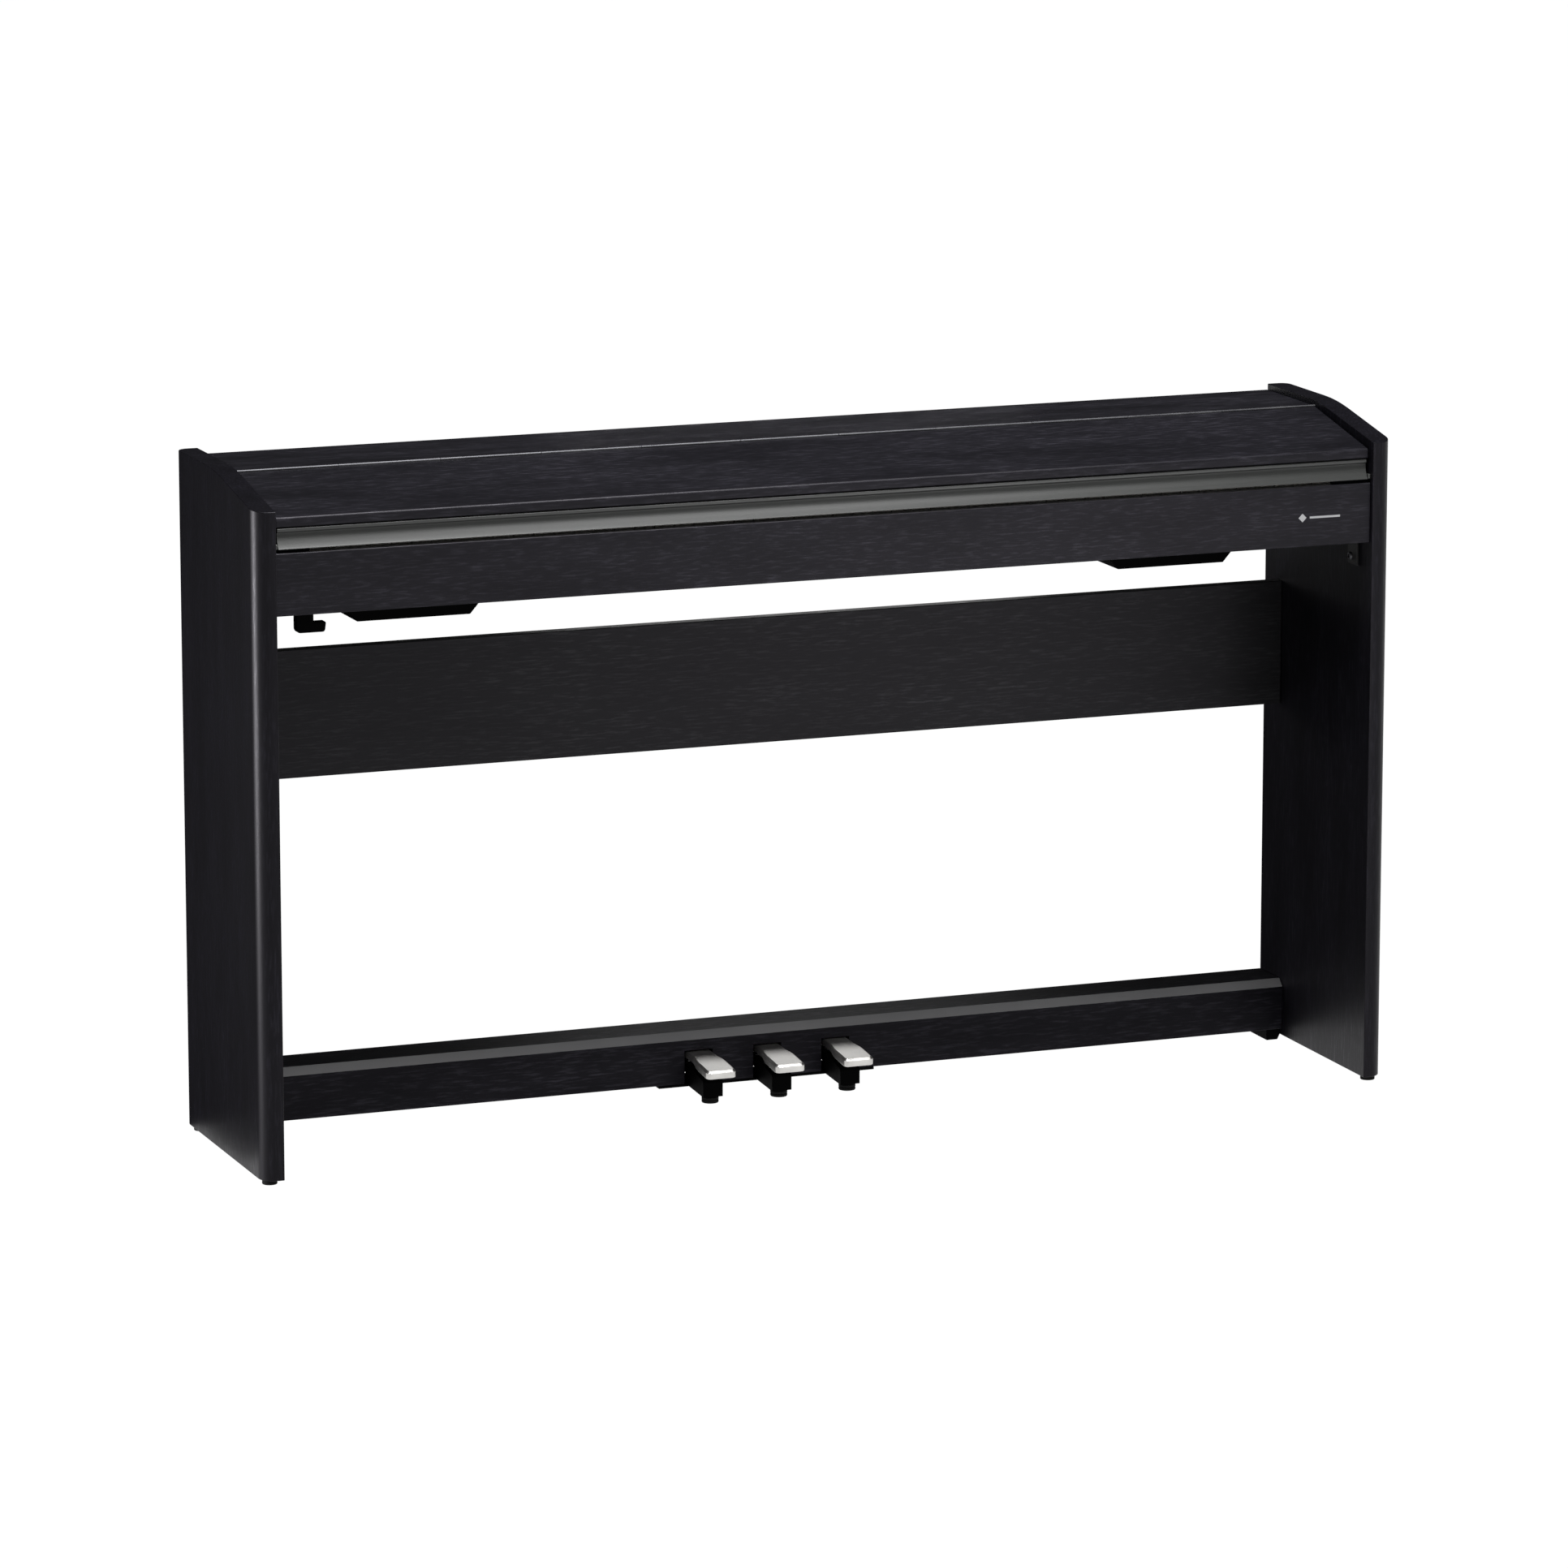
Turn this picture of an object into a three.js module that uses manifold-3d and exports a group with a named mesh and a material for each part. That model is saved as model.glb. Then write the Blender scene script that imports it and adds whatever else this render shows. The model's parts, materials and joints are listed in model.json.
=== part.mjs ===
// A compact 88-key digital piano on its panel stand, closed, standing on the floor.
// Millimetres. +X is the player's right, +Y goes to the back, +Z is up.
// The origin is on the floor under the middle of the piano.

import * as THREE from "three";
import { mergeVertices } from "three/addons/utils/BufferGeometryUtils.js";
import Module from "manifold-3d";

const wasm = await Module();
wasm.setup();

const degrees = THREE.MathUtils.degToRad;

// ---------------------------------------------------------------- driving dimensions

const FIT = 0.3; // gap between two pieces that rest on each other
const DEPTH = 290; // side panels, front edge to rear edge
const HEIGHT = 778; // top of the side panels at the back

// keyboard
const KEY_PITCH = 23.5; // one white key and one gap
const KEY_GAP = 1; // between two white keys
const LOWEST_NOTE = 21; // A0
const HIGHEST_NOTE = 108; // C8
const LOOSE_OCTAVE = [60, 71]; // C4 to B4: the notes whose keys are single pieces here
const WHITE_HEAD = 47.5; // front edge of a white key to the sharps' notch
const WHITE_VISIBLE = 145.5; // front edge of a white key to the fascia
const KEY_THICKNESS = 19;
const KEY_FRONT_GAP = 2; // key slip to white key
const SHARP_WIDTH = 11;
const SHARP_SIDE_GAP = 0.9; // sharp to the white keys' tails
const SHARP_RISE = 12; // above the white keys
const SHARP_FRONT_SLOPE = 5; // how far the sharp's front leans back
const SHARP_REAR_GAP = 2; // sharp to the fascia
// how far each sharp's middle stands from the joint of its two white keys, by semitone
const SHARP_SHIFT = { 1: -2.8, 3: 2.8, 6: -3.9, 8: 0, 10: 3.9 };
const STEM_THICKNESS = 8.5; // a white key's low stem behind the fascia
const SHARP_STEM = [10, 17]; // a sharp's stem, bottom and top, above the white key's underside
const STEM_WEB = 22; // length of the bar that joins a section of keys
const PIVOT_OVERHANG = 4; // stem behind its pivot
const PIVOT_FROM_REAR = 53; // key pivot to the side panels' rear edge
const END_KEY_GAP = 1; // last key to cheek block
const CHEEK_WIDTH = 42.2;
const CHEEK_RISE = 5; // above the white keys

// side panels and their feet
const PANEL_THICKNESS = 25;
const PANEL_FRONT_ARRIS = 18; // radius of the outer upright edge at the front
const PANEL_REAR_ARRIS = 12; // and at the rear
const PANEL_FLAT = 105; // level part of the top edge, from the rear
const PANEL_TOP_RADIUS = 372; // between the level and the falling part
const PANEL_TOP_SLOPE = degrees(10);
const FOOT_HEIGHT = 6;
const FOOT_RADIUS = 8.5;
const FOOT_INSET = 16; // foot's middle from the panel's front and rear edge

// cabinet boards, heights measured down from HEIGHT
const TOP_BOARD_DROP = 7;
const TOP_BOARD_THICKNESS = 12;
const WHITE_KEY_DROP = 56;
const SLIP_DROP = 73.7;
const SLIP_THICKNESS = 12;
const SLIP_RECESS = 5.5; // slip's face behind the panels' front edge
const SLIP_BELOW_KEYBED = 3;
const KEYBED_DROP = 140; // to its underside
const KEYBED_THICKNESS = 15;
const BACK_THICKNESS = 12;
const BACK_RECESS = 2;

// lid, its hinge, its handle and the music ledge
const LID_THICKNESS = 11;
const LID_SLOPE = degrees(11);
const LID_SIDE_GAP = 2;
const LID_NOSE_RECESS = 8.7; // nose behind the panels' front edge
const LID_NOSE_RADIUS = 3;
const HINGE_FROM_FRONT = 154.5;
const HINGE_RISE = 0.4; // hinge axis above the top board
const HINGE_PIN_RADIUS = 1;
const HINGE_KNUCKLE_RADIUS = 1.8;
const HINGE_LEAF = 1; // sheet thickness
const HINGE_LEAF_SHORT = 2; // leaf's height less than the lid's thickness
const HINGE_KNUCKLES = 11;
const HANDLE_SHORTER = 2; // each end, against the lid
const HANDLE_HEIGHT = 23.2; // below the lid's underside at the nose
const HANDLE_WALL = 2.6;
const LEDGE_LENGTH = 600;
const LEDGE_REACH = 17; // pivot to free edge
const LEDGE_THICKNESS = 3;
const LEDGE_BARREL = 2; // radius of its pivot edge
const LEDGE_FROM_HINGE = 9.5;
const LEDGE_GAP = 1; // to the lid's underside

// control fascia
const FASCIA_THICKNESS = 5;
const FASCIA_ABOVE_SHARPS = 2.5;
const BUTTON_SIZE = [12, 6];
const BUTTON_PROUD = 1.8;
const BUTTON_TRAVEL = 1.2;
const BUTTON_GAP = 0.4; // all round, in its hole
const BUTTON_FLANGE = 1.5;
const POWER_BUTTON_FROM_PANEL = 74.5; // middles of the controls from the left panel's inner face
const VOLUME_KNOB_FROM_PANEL = 109.5;
const TONE_BUTTON_FROM_PANEL = 144.5;
const KNOB_RADIUS = 7;
const KNOB_DEPTH = 6.5;
const KNOB_SHAFT_RADIUS = 3;

// action chassis, electronics and speakers
const CHASSIS_PLATE = 3;
const CHASSIS_RAIL_WIDTH = 16;
const KEY_DIP = 10; // travel at a white key's front edge
const FELT_ROOM = 1.5; // chassis rail to a key held down
const PIVOT_ROOM = 0.6; // pivot rail to a key's underside
const BOARD_SIZE = [240, 1.6, 60];
// chips on the main board: middle along X, width, height
const CHIPS = [
  [-69, 22, 12],
  [-9, 22, 18],
  [56, 22, 24],
];
const CHIP_PROUD = 3;
const CHIP_DROP = 16; // chips' lower edges below the middle of the sockets
const CONNECTOR_PLATE = [150, 3, 34];
const CONNECTOR_WELL_DEPTH = 12;
const CONNECTOR_X = 200;
// wells in the connector block: middle along X, width, height
const WELLS = [
  [-55, 9, 9],
  [-18, 13, 12],
  [34, 20, 10],
];
const SPEAKER_FROM_PANEL = 196.5; // middle of a housing from the panel's inner face
const SPEAKER_DROP = 37; // housing below the keybed
const SPEAKER_TOP_WIDTH = 196;
const SPEAKER_BOTTOM_WIDTH = 132;
const SPEAKER_FROM_REAR = 50;
const SPEAKER_LENGTH = 117;
const SPEAKER_WALL = 2.5;
const SPEAKER_SLOTS = 9;
const SPEAKER_SLOT = [84, 3];
const DRIVER_RADIUS = 46;

// headphone hook and cabinet brackets
const HOOK_FROM_PANEL = 40.7; // middle of its post from the left panel's inner face
const HOOK_FROM_FRONT = 35;
const HOOK_POST = 19.9;
const HOOK_DROP = 27.5;
const HOOK_ARM = 11.5; // arm thickness
const HOOK_REACH = 14.4; // arm beyond the post
const HOOK_THICKNESS = 12;
const BRACKET_WIDTH = 24;
const BRACKET_FROM_FRONT = 34;
const BRACKET_HEIGHT = 34;
const BRACKET_LEG = 26;
const BRACKET_THICKNESS = 2.5;

// rear brace
const BRACE_BELOW_KEYBED = 87;
const BRACE_HEIGHT = 146.5;
const BRACE_THICKNESS = 15;
const BRACE_FROM_REAR = 48; // brace's front face to the panels' rear edge

// pedals and their rail
const PEDAL_SPACING = 84.5;
const PEDAL_NECK_WIDTH = 29.5;
const PEDAL_TOE_WIDTH = 36.5;
const PEDAL_THICKNESS = 7.5;
const PEDAL_HUB = 7.5; // axle to the hub's outside
const TOE_THICKNESS = 9.5;
const TOE_LENGTH = 22;
const TOE_RADIUS = 5.5; // corners of the toe, in plan
const WIDENING = [57, 34]; // toe to where the neck starts and stops widening
const PEDAL_LENGTH = 118.5; // axle to toe
const PEDAL_AXLE_Z = 42;
const PEDAL_AXLE_RADIUS = 3;
const PEDAL_AXLE_FROM_REAR = 23;
const PEDAL_RISE = 9.5; // neck's top above the axle
const PEDAL_FALL = 6; // toe's top below the neck's top
const NOTCH_SIDE_GAP = 2.3; // each side of a pedal's neck
const NOTCH_ABOVE_PEDAL = 1.5;
const RAIL_ABOVE_NOTCH = 21;
const RAIL_BOTTOM = 14;
const RAIL_DEPTH = 65;
const RAIL_WALL = 12;
const RAIL_BEVEL = [9.5, 8.5];
const BASE_PLATE_THICKNESS = 3;
const BASE_PLATE_OVERHANG = 4.25; // beyond the outer ears
const ARM_WIDTH = 24;
const ARM_LENGTH = 47; // in front of the rail
const ARM_TIP_BOTTOM = 8;
const ARM_TIP_TOP = 27;
const ARM_ROOT_TOP = 36;
const ARM_FOOT_RADIUS = 9.5;
const ARM_FOOT_FROM_TIP = 10;
const EAR_THICKNESS = 4;
const SPRING_RADIUS = 5;
const SPRING_WIRE = 0.9;
const SPRING_TURNS = 4;
const SPRING_FROM_AXLE = 21;
const END_BLOCK = [17.2, 46, 3, 6]; // width, length, chamfer, and recess behind the rail's face

// ---------------------------------------------------------------- planes that pieces share

const FRONT = -DEPTH / 2;
const REAR = DEPTH / 2;

const whiteCount = countWhites(LOWEST_NOTE, HIGHEST_NOTE);
const KEYBOARD_HALF = (whiteCount * KEY_PITCH) / 2;
const INNER = KEYBOARD_HALF + END_KEY_GAP + CHEEK_WIDTH + FIT; // inner face of a side panel
const OUTER = INNER + PANEL_THICKNESS;
const BOARD_HALF = INNER - FIT; // half length of every board between the panels

const topZ = HEIGHT - TOP_BOARD_DROP;
const topBoardUnder = topZ - TOP_BOARD_THICKNESS;
const hingeY = FRONT + HINGE_FROM_FRONT;
const hingeZ = topZ + HINGE_RISE;
const seamHalf = HINGE_KNUCKLE_RADIUS + FIT; // hinge axis to the edge of either board
const lidHalf = INNER - LID_SIDE_GAP;
const noseY = FRONT + LID_NOSE_RECESS;

const keybedUnder = HEIGHT - KEYBED_DROP;
const keybedTop = keybedUnder + KEYBED_THICKNESS;
const slipFront = FRONT + SLIP_RECESS;
const slipBack = slipFront + SLIP_THICKNESS;
const backFront = REAR - BACK_RECESS - BACK_THICKNESS;

const keyFront = slipBack + KEY_FRONT_GAP;
const keyTop = HEIGHT - WHITE_KEY_DROP;
const keyUnder = keyTop - KEY_THICKNESS;
const sharpTop = keyTop + SHARP_RISE;
const fasciaFront = keyFront + WHITE_VISIBLE;
const fasciaZ = [sharpTop + FASCIA_ABOVE_SHARPS, topBoardUnder - FIT];
const pivotY = REAR - PIVOT_FROM_REAR;
const stemEnd = pivotY + PIVOT_OVERHANG;
const webFront = stemEnd - STEM_WEB;

const axleY = REAR - PEDAL_AXLE_FROM_REAR;
const railFront = REAR - RAIL_DEPTH;
const notchTop = PEDAL_AXLE_Z + PEDAL_RISE + NOTCH_ABOVE_PEDAL;
const railTop = notchTop + RAIL_ABOVE_NOTCH;
const pedalXs = [-PEDAL_SPACING, 0, PEDAL_SPACING];

// ---------------------------------------------------------------- finishes

const finish = (color, roughness, metalness = 0) =>
  new THREE.MeshStandardMaterial({ color, roughness, metalness });

const woodFoil = finish(0x25242a, 0.55);
const blackPlastic = finish(0x0d0d0e, 0.6);
const blackSteel = finish(0x161617, 0.45, 0.6);
const greyProfile = finish(0x6b6c6c, 0.4, 0.3);
const nickel = finish(0xcfcdc8, 0.22, 1);
const steel = finish(0xa8a9ab, 0.35, 1);
const keyWhite = finish(0xf1efe8, 0.3);
const keyBlack = finish(0x121214, 0.35);
const rubber = finish(0x101010, 0.85);
const circuitGreen = finish(0x1d5a36, 0.5);
const chipboard = finish(0x2a2825, 0.8);
const coneBlack = finish(0x1a1a1b, 0.75);

// ---------------------------------------------------------------- geometry helpers

// A manifold-3d solid from a closed three.js geometry.
function solidOf(geometry) {
  const bare = new THREE.BufferGeometry();
  bare.setAttribute("position", geometry.getAttribute("position"));
  bare.setIndex(geometry.getIndex());
  const merged = mergeVertices(bare, 1e-3);
  const vertProperties = new Float32Array(merged.getAttribute("position").array);
  const triVerts = new Uint32Array(merged.getIndex().array);
  return new wasm.Manifold(new wasm.Mesh({ numProp: 3, vertProperties, triVerts }));
}

// A three.js geometry from a manifold-3d solid.
function geometryOf(solid) {
  const mesh = solid.getMesh();
  const position = new Float32Array(mesh.numVert * 3);
  for (let i = 0; i < mesh.numVert; i++) {
    const at = i * mesh.numProp;
    position.set(mesh.vertProperties.subarray(at, at + 3), i * 3);
  }
  const geometry = new THREE.BufferGeometry();
  geometry.setAttribute("position", new THREE.BufferAttribute(position, 3));
  geometry.setIndex(new THREE.BufferAttribute(new Uint32Array(mesh.triVerts), 1));
  geometry.computeVertexNormals();
  return geometry;
}

const join = (...pieces) => geometryOf(wasm.Manifold.union(pieces.map(solidOf)));

function cut(piece, ...tools) {
  const removed = wasm.Manifold.union(tools.map(solidOf));
  return geometryOf(solidOf(piece).subtract(removed));
}

const common = (a, b) => geometryOf(solidOf(a).intersect(solidOf(b)));

// A rectangular block from its low and high corner along each axis.
function block([x0, x1], [y0, y1], [z0, z1]) {
  const box = new THREE.BoxGeometry(x1 - x0, y1 - y0, z1 - z0);
  return box.translate((x0 + x1) / 2, (y0 + y1) / 2, (z0 + z1) / 2);
}

// An outline of corners [u, v, radius], with an arc at each corner that has a radius.
function outline(corners, arcSteps = 4) {
  const points = [];
  corners.forEach(([u, v, radius = 0], i) => {
    const corner = new THREE.Vector2(u, v);
    if (!radius) {
      points.push(corner);
      return;
    }
    const before = corners[(i + corners.length - 1) % corners.length];
    const after = corners[(i + 1) % corners.length];
    const back = new THREE.Vector2(before[0], before[1]).sub(corner).normalize();
    const on = new THREE.Vector2(after[0], after[1]).sub(corner).normalize();
    const half = Math.acos(THREE.MathUtils.clamp(back.dot(on), -1, 1)) / 2;
    const centre = back.clone().add(on).setLength(radius / Math.sin(half)).add(corner);
    const start = back.clone().multiplyScalar(radius / Math.tan(half)).add(corner).sub(centre);
    const end = on.clone().multiplyScalar(radius / Math.tan(half)).add(corner).sub(centre);
    const turn = Math.atan2(start.cross(end), start.dot(end));
    for (let k = 0; k <= arcSteps; k++) {
      const spoke = start.clone().rotateAround(new THREE.Vector2(), (turn * k) / arcSteps);
      points.push(spoke.add(centre));
    }
  });
  return points;
}

const extrude = (points, depth) =>
  new THREE.ExtrudeGeometry(new THREE.Shape(points), { depth, bevelEnabled: false });

const X = new THREE.Vector3(1, 0, 0);
const Y = new THREE.Vector3(0, 1, 0);
const Z = new THREE.Vector3(0, 0, 1);

// An outline in the Y-Z plane, drawn out along X.
const prismX = (points, [x0, x1]) =>
  extrude(points, x1 - x0)
    .applyMatrix4(new THREE.Matrix4().makeBasis(Y, Z, X))
    .translate(x0, 0, 0);

// An outline in the X-Z plane, drawn out along Y.
const prismY = (points, [y0, y1]) =>
  extrude(points, y1 - y0)
    .applyMatrix4(new THREE.Matrix4().makeBasis(X, Z, Y.clone().negate()))
    .translate(0, y1, 0);

// An outline in the X-Y plane, drawn out along Z.
const prismZ = (points, [z0, z1]) => extrude(points, z1 - z0).translate(0, 0, z0);

const rod = (radius, length, sides) => new THREE.CylinderGeometry(radius, radius, length, sides);

const rodX = (radius, y, z, [x0, x1], sides) =>
  rod(radius, x1 - x0, sides)
    .rotateZ(-Math.PI / 2)
    .translate((x0 + x1) / 2, y, z);

const rodY = (radius, x, z, [y0, y1], sides) =>
  rod(radius, y1 - y0, sides).translate(x, (y0 + y1) / 2, z);

const rodZ = (radius, x, y, [z0, z1], sides) =>
  rod(radius, z1 - z0, sides)
    .rotateX(Math.PI / 2)
    .translate(x, y, (z0 + z1) / 2);

const piano = new THREE.Group();
piano.name = "digital_piano";

function add(name, geometry, material) {
  const mesh = new THREE.Mesh(geometry, material);
  mesh.name = name;
  piano.add(mesh);
  return mesh;
}

// A piece on the right, and its mirror image on the left.
function addPair(name, geometry, material) {
  add(`${name}_right`, geometry, material);
  add(`${name}_left`, geometry, material).scale.x = -1;
}

// ---------------------------------------------------------------- side panels and feet

// The panel's outline in the Y-Z plane, drawn in at its front and rear edges only.
function panelOutline(frontInset, rearInset) {
  const centre = new THREE.Vector2(REAR - PANEL_FLAT, HEIGHT - PANEL_TOP_RADIUS);
  const rear = REAR - rearInset;
  const points = [new THREE.Vector2(rear, FOOT_HEIGHT), new THREE.Vector2(rear, HEIGHT)];
  const steps = 4;
  for (let i = 0; i <= steps; i++) {
    const angle = (PANEL_TOP_SLOPE * i) / steps;
    const spoke = new THREE.Vector2(-Math.sin(angle), Math.cos(angle));
    points.push(spoke.multiplyScalar(PANEL_TOP_RADIUS).add(centre));
  }
  const fallStart = points[points.length - 1];
  const front = FRONT + frontInset;
  const fall = (fallStart.x - front) * Math.tan(PANEL_TOP_SLOPE);
  points.push(new THREE.Vector2(front, fallStart.y - fall), new THREE.Vector2(front, FOOT_HEIGHT));
  return points;
}

// Closed skin over outlines of equal length, each at its own x.
function skinX(layers) {
  const count = layers[0].points.length;
  const position = layers.flatMap(({ x, points }) => points.flatMap((p) => [x, p.x, p.y]));
  const index = [];
  for (let layer = 0; layer + 1 < layers.length; layer++) {
    for (let i = 0; i < count; i++) {
      const a = layer * count + i;
      const b = layer * count + ((i + 1) % count);
      index.push(a, b, a + count, b, b + count, a + count);
    }
  }
  const last = (layers.length - 1) * count;
  for (const [a, b, c] of THREE.ShapeUtils.triangulateShape(layers[0].points, [])) {
    index.push(a, c, b, last + a, last + b, last + c);
  }
  const geometry = new THREE.BufferGeometry();
  geometry.setAttribute("position", new THREE.Float32BufferAttribute(position, 3));
  geometry.setIndex(index);
  return geometry;
}

// How far a rounded edge stands back at x, for an edge that ends at the outer face.
function arrisInset(radius, x) {
  const into = Math.max(0, x - (OUTER - radius));
  return radius - Math.sqrt(radius * radius - into * into);
}

// The right panel: square inside and on top, with its outer upright edges rounded.
function sidePanel() {
  const layers = [{ x: INNER, points: panelOutline(0, 0) }];
  const steps = 6;
  for (let i = 0; i <= steps; i++) {
    const x = OUTER - PANEL_FRONT_ARRIS * (1 - Math.sin(((Math.PI / 2) * i) / steps));
    const insets = [arrisInset(PANEL_FRONT_ARRIS, x), arrisInset(PANEL_REAR_ARRIS, x)];
    layers.push({ x, points: panelOutline(...insets) });
  }
  return skinX(layers);
}

addPair("side_panel", sidePanel(), woodFoil);

const footX = (INNER + OUTER) / 2;
const footZ = [0, FOOT_HEIGHT - FIT];
addPair("foot_front", rodZ(FOOT_RADIUS, footX, FRONT + FOOT_INSET, footZ, 20), rubber);
addPair("foot_rear", rodZ(FOOT_RADIUS, footX, REAR - FOOT_INSET, footZ, 20), rubber);

// ---------------------------------------------------------------- cabinet boards

const boardX = [-BOARD_HALF, BOARD_HALF];

add("keybed", block(boardX, [slipBack + FIT, backFront - FIT], [keybedUnder, keybedTop]), chipboard);

const slipOutline = outline([
  [slipFront, keybedUnder - SLIP_BELOW_KEYBED],
  [slipBack, keybedUnder - SLIP_BELOW_KEYBED],
  [slipBack, HEIGHT - SLIP_DROP],
  [slipFront, HEIGHT - SLIP_DROP, 1.5],
]);
add("key_slip", prismX(slipOutline, boardX), woodFoil);

const topBoardY = [hingeY + seamHalf, REAR];
add("top_board", block(boardX, topBoardY, [topBoardUnder, topZ]), woodFoil);

const brace = {
  y: [REAR - BRACE_FROM_REAR, REAR - BRACE_FROM_REAR + BRACE_THICKNESS],
  z: [keybedUnder - BRACE_BELOW_KEYBED - BRACE_HEIGHT, keybedUnder - BRACE_BELOW_KEYBED],
};
add("rear_brace", block(boardX, brace.y, brace.z), woodFoil);

const cheekX = [KEYBOARD_HALF + END_KEY_GAP, BOARD_HALF];
const cheekY = [slipBack + FIT, fasciaFront - FIT];
const cheekZ = [keybedTop + FIT, keyTop + CHEEK_RISE];
addPair("cheek_block", block(cheekX, cheekY, cheekZ), woodFoil);

// ---------------------------------------------------------------- connector panel in the back panel

const connectorZ = (keybedTop + topBoardUnder) / 2 - 20;
const connectorY = [REAR - BACK_RECESS - BACK_THICKNESS, REAR - BACK_RECESS];
const plateX = [CONNECTOR_X - CONNECTOR_PLATE[0] / 2, CONNECTOR_X + CONNECTOR_PLATE[0] / 2];
const plateZ = [connectorZ - CONNECTOR_PLATE[2] / 2, connectorZ + CONNECTOR_PLATE[2] / 2];

const grown = ([a, b], by) => [a - by, b + by];

function connectorBlock() {
  const body = block(plateX, connectorY, plateZ);
  const wells = WELLS.map(([x, width, height]) =>
    block(
      [CONNECTOR_X + x - width / 2, CONNECTOR_X + x + width / 2],
      [connectorY[1] - CONNECTOR_WELL_DEPTH + CONNECTOR_PLATE[1], connectorY[1] + 1],
      [connectorZ - height / 2, connectorZ + height / 2],
    ),
  );
  return cut(body, ...wells);
}

add("connector_panel", connectorBlock(), blackPlastic);

const backZ = [keybedUnder, topBoardUnder - FIT];
const backBoard = block(boardX, connectorY, backZ);
const connectorOpening = block(grown(plateX, FIT), grown(connectorY, 1), grown(plateZ, FIT));
add("back_panel", cut(backBoard, connectorOpening), woodFoil);

function mainBoard() {
  const [length, thickness, height] = BOARD_SIZE;
  const y1 = backFront - 6;
  const y0 = y1 - thickness;
  const boardLength = [CONNECTOR_X - length / 2, CONNECTOR_X + length / 2];
  const chipFoot = connectorZ - CHIP_DROP;
  const board = block(boardLength, [y0, y1], [connectorZ - height / 2, connectorZ + height / 2]);
  const chips = CHIPS.map(([x, width, chipHeight]) => {
    const left = CONNECTOR_X + x - width / 2;
    return block([left, left + width], [y0 - CHIP_PROUD, y0 + 0.5], [chipFoot, chipFoot + chipHeight]);
  });
  const sockets = WELLS.map(([x, width, socketHeight]) =>
    block(
      [CONNECTOR_X + x - width / 2, CONNECTOR_X + x + width / 2],
      [y1 - 0.5, backFront - FIT],
      [connectorZ - socketHeight / 2, connectorZ + socketHeight / 2],
    ),
  );
  return join(board, ...chips, ...sockets);
}

add("main_board", mainBoard(), circuitGreen);

// ---------------------------------------------------------------- lid, hinge, handle and ledge

const lidTopAt = (y) => hingeZ - (hingeY - y) * Math.tan(LID_SLOPE);
const lidUnderAt = (y) => lidTopAt(y) - LID_THICKNESS / Math.cos(LID_SLOPE);
const lidRear = hingeY - seamHalf;

const lidOutline = outline([
  [noseY, lidUnderAt(noseY), 1.5],
  [lidRear, lidUnderAt(lidRear)],
  [lidRear, lidTopAt(lidRear)],
  [noseY, lidTopAt(noseY), LID_NOSE_RADIUS],
]);
add("lid", prismX(lidOutline, [-lidHalf, lidHalf]), woodFoil);

// The handle is a thin wall that hangs from the nose: a bead on top, a hollow finger face below.
function handleOutline() {
  const top = lidUnderAt(noseY) + 0.2 - FIT;
  const bottom = top - HANDLE_HEIGHT;
  const beadY = noseY + 0.7;
  const faceY = noseY + 3.2;
  const toeY = noseY - 3.4;
  const hollow = (t) => {
    const z = top - 6.2 + (bottom - top + 6.2) * t;
    return [faceY + (toeY - faceY) * t * t, z];
  };
  const face = [0, 0.25, 0.5, 0.75, 1].map(hollow);
  const inside = face.map(([y, z]) => [y + HANDLE_WALL, z - 0.4]).reverse();
  const bead = [
    [faceY + HANDLE_WALL + 2.2, top],
    [faceY, top],
    [beadY, top - 1.2, 1],
    [beadY, top - 4.4, 1],
  ];
  return outline([...bead, ...face, ...inside]);
}

const handleHalf = lidHalf - HANDLE_SHORTER;
add("lid_handle", prismX(handleOutline(), [-handleHalf, handleHalf]), greyProfile);

// One leaf of the continuous hinge: a strip and every other knuckle. side is -1 on the lid, 1 on the board.
function hingeLeaf(side, firstKnuckle) {
  const near = hingeY + side * (seamHalf - FIT - HINGE_LEAF);
  const far = hingeY + side * (seamHalf - FIT);
  const stripY = [Math.min(near, far), Math.max(near, far)];
  const stripTop = hingeZ - HINGE_KNUCKLE_RADIUS - FIT;
  const strip = block([-lidHalf, lidHalf], stripY, [stripTop - LID_THICKNESS + HINGE_LEAF_SHORT, stripTop]);
  const pitch = (2 * lidHalf) / HINGE_KNUCKLES;
  const pieces = [strip];
  const bores = [];
  for (let i = firstKnuckle; i < HINGE_KNUCKLES; i += 2) {
    const x = [-lidHalf + i * pitch + FIT, -lidHalf + (i + 1) * pitch - FIT];
    pieces.push(rodX(HINGE_KNUCKLE_RADIUS, hingeY, hingeZ, x, 16));
    pieces.push(block(x, stripY, [stripTop - 1, hingeZ]));
    bores.push(rodX(HINGE_PIN_RADIUS + FIT, hingeY, hingeZ, grown(x, 1), 12));
  }
  return cut(join(...pieces), ...bores);
}

add("lid_hinge_front_leaf", hingeLeaf(-1, 1), steel);
add("lid_hinge_rear_leaf", hingeLeaf(1, 0), steel);
add("lid_hinge_pin", rodX(HINGE_PIN_RADIUS, hingeY, hingeZ, [-lidHalf, lidHalf], 12), steel);

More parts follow.
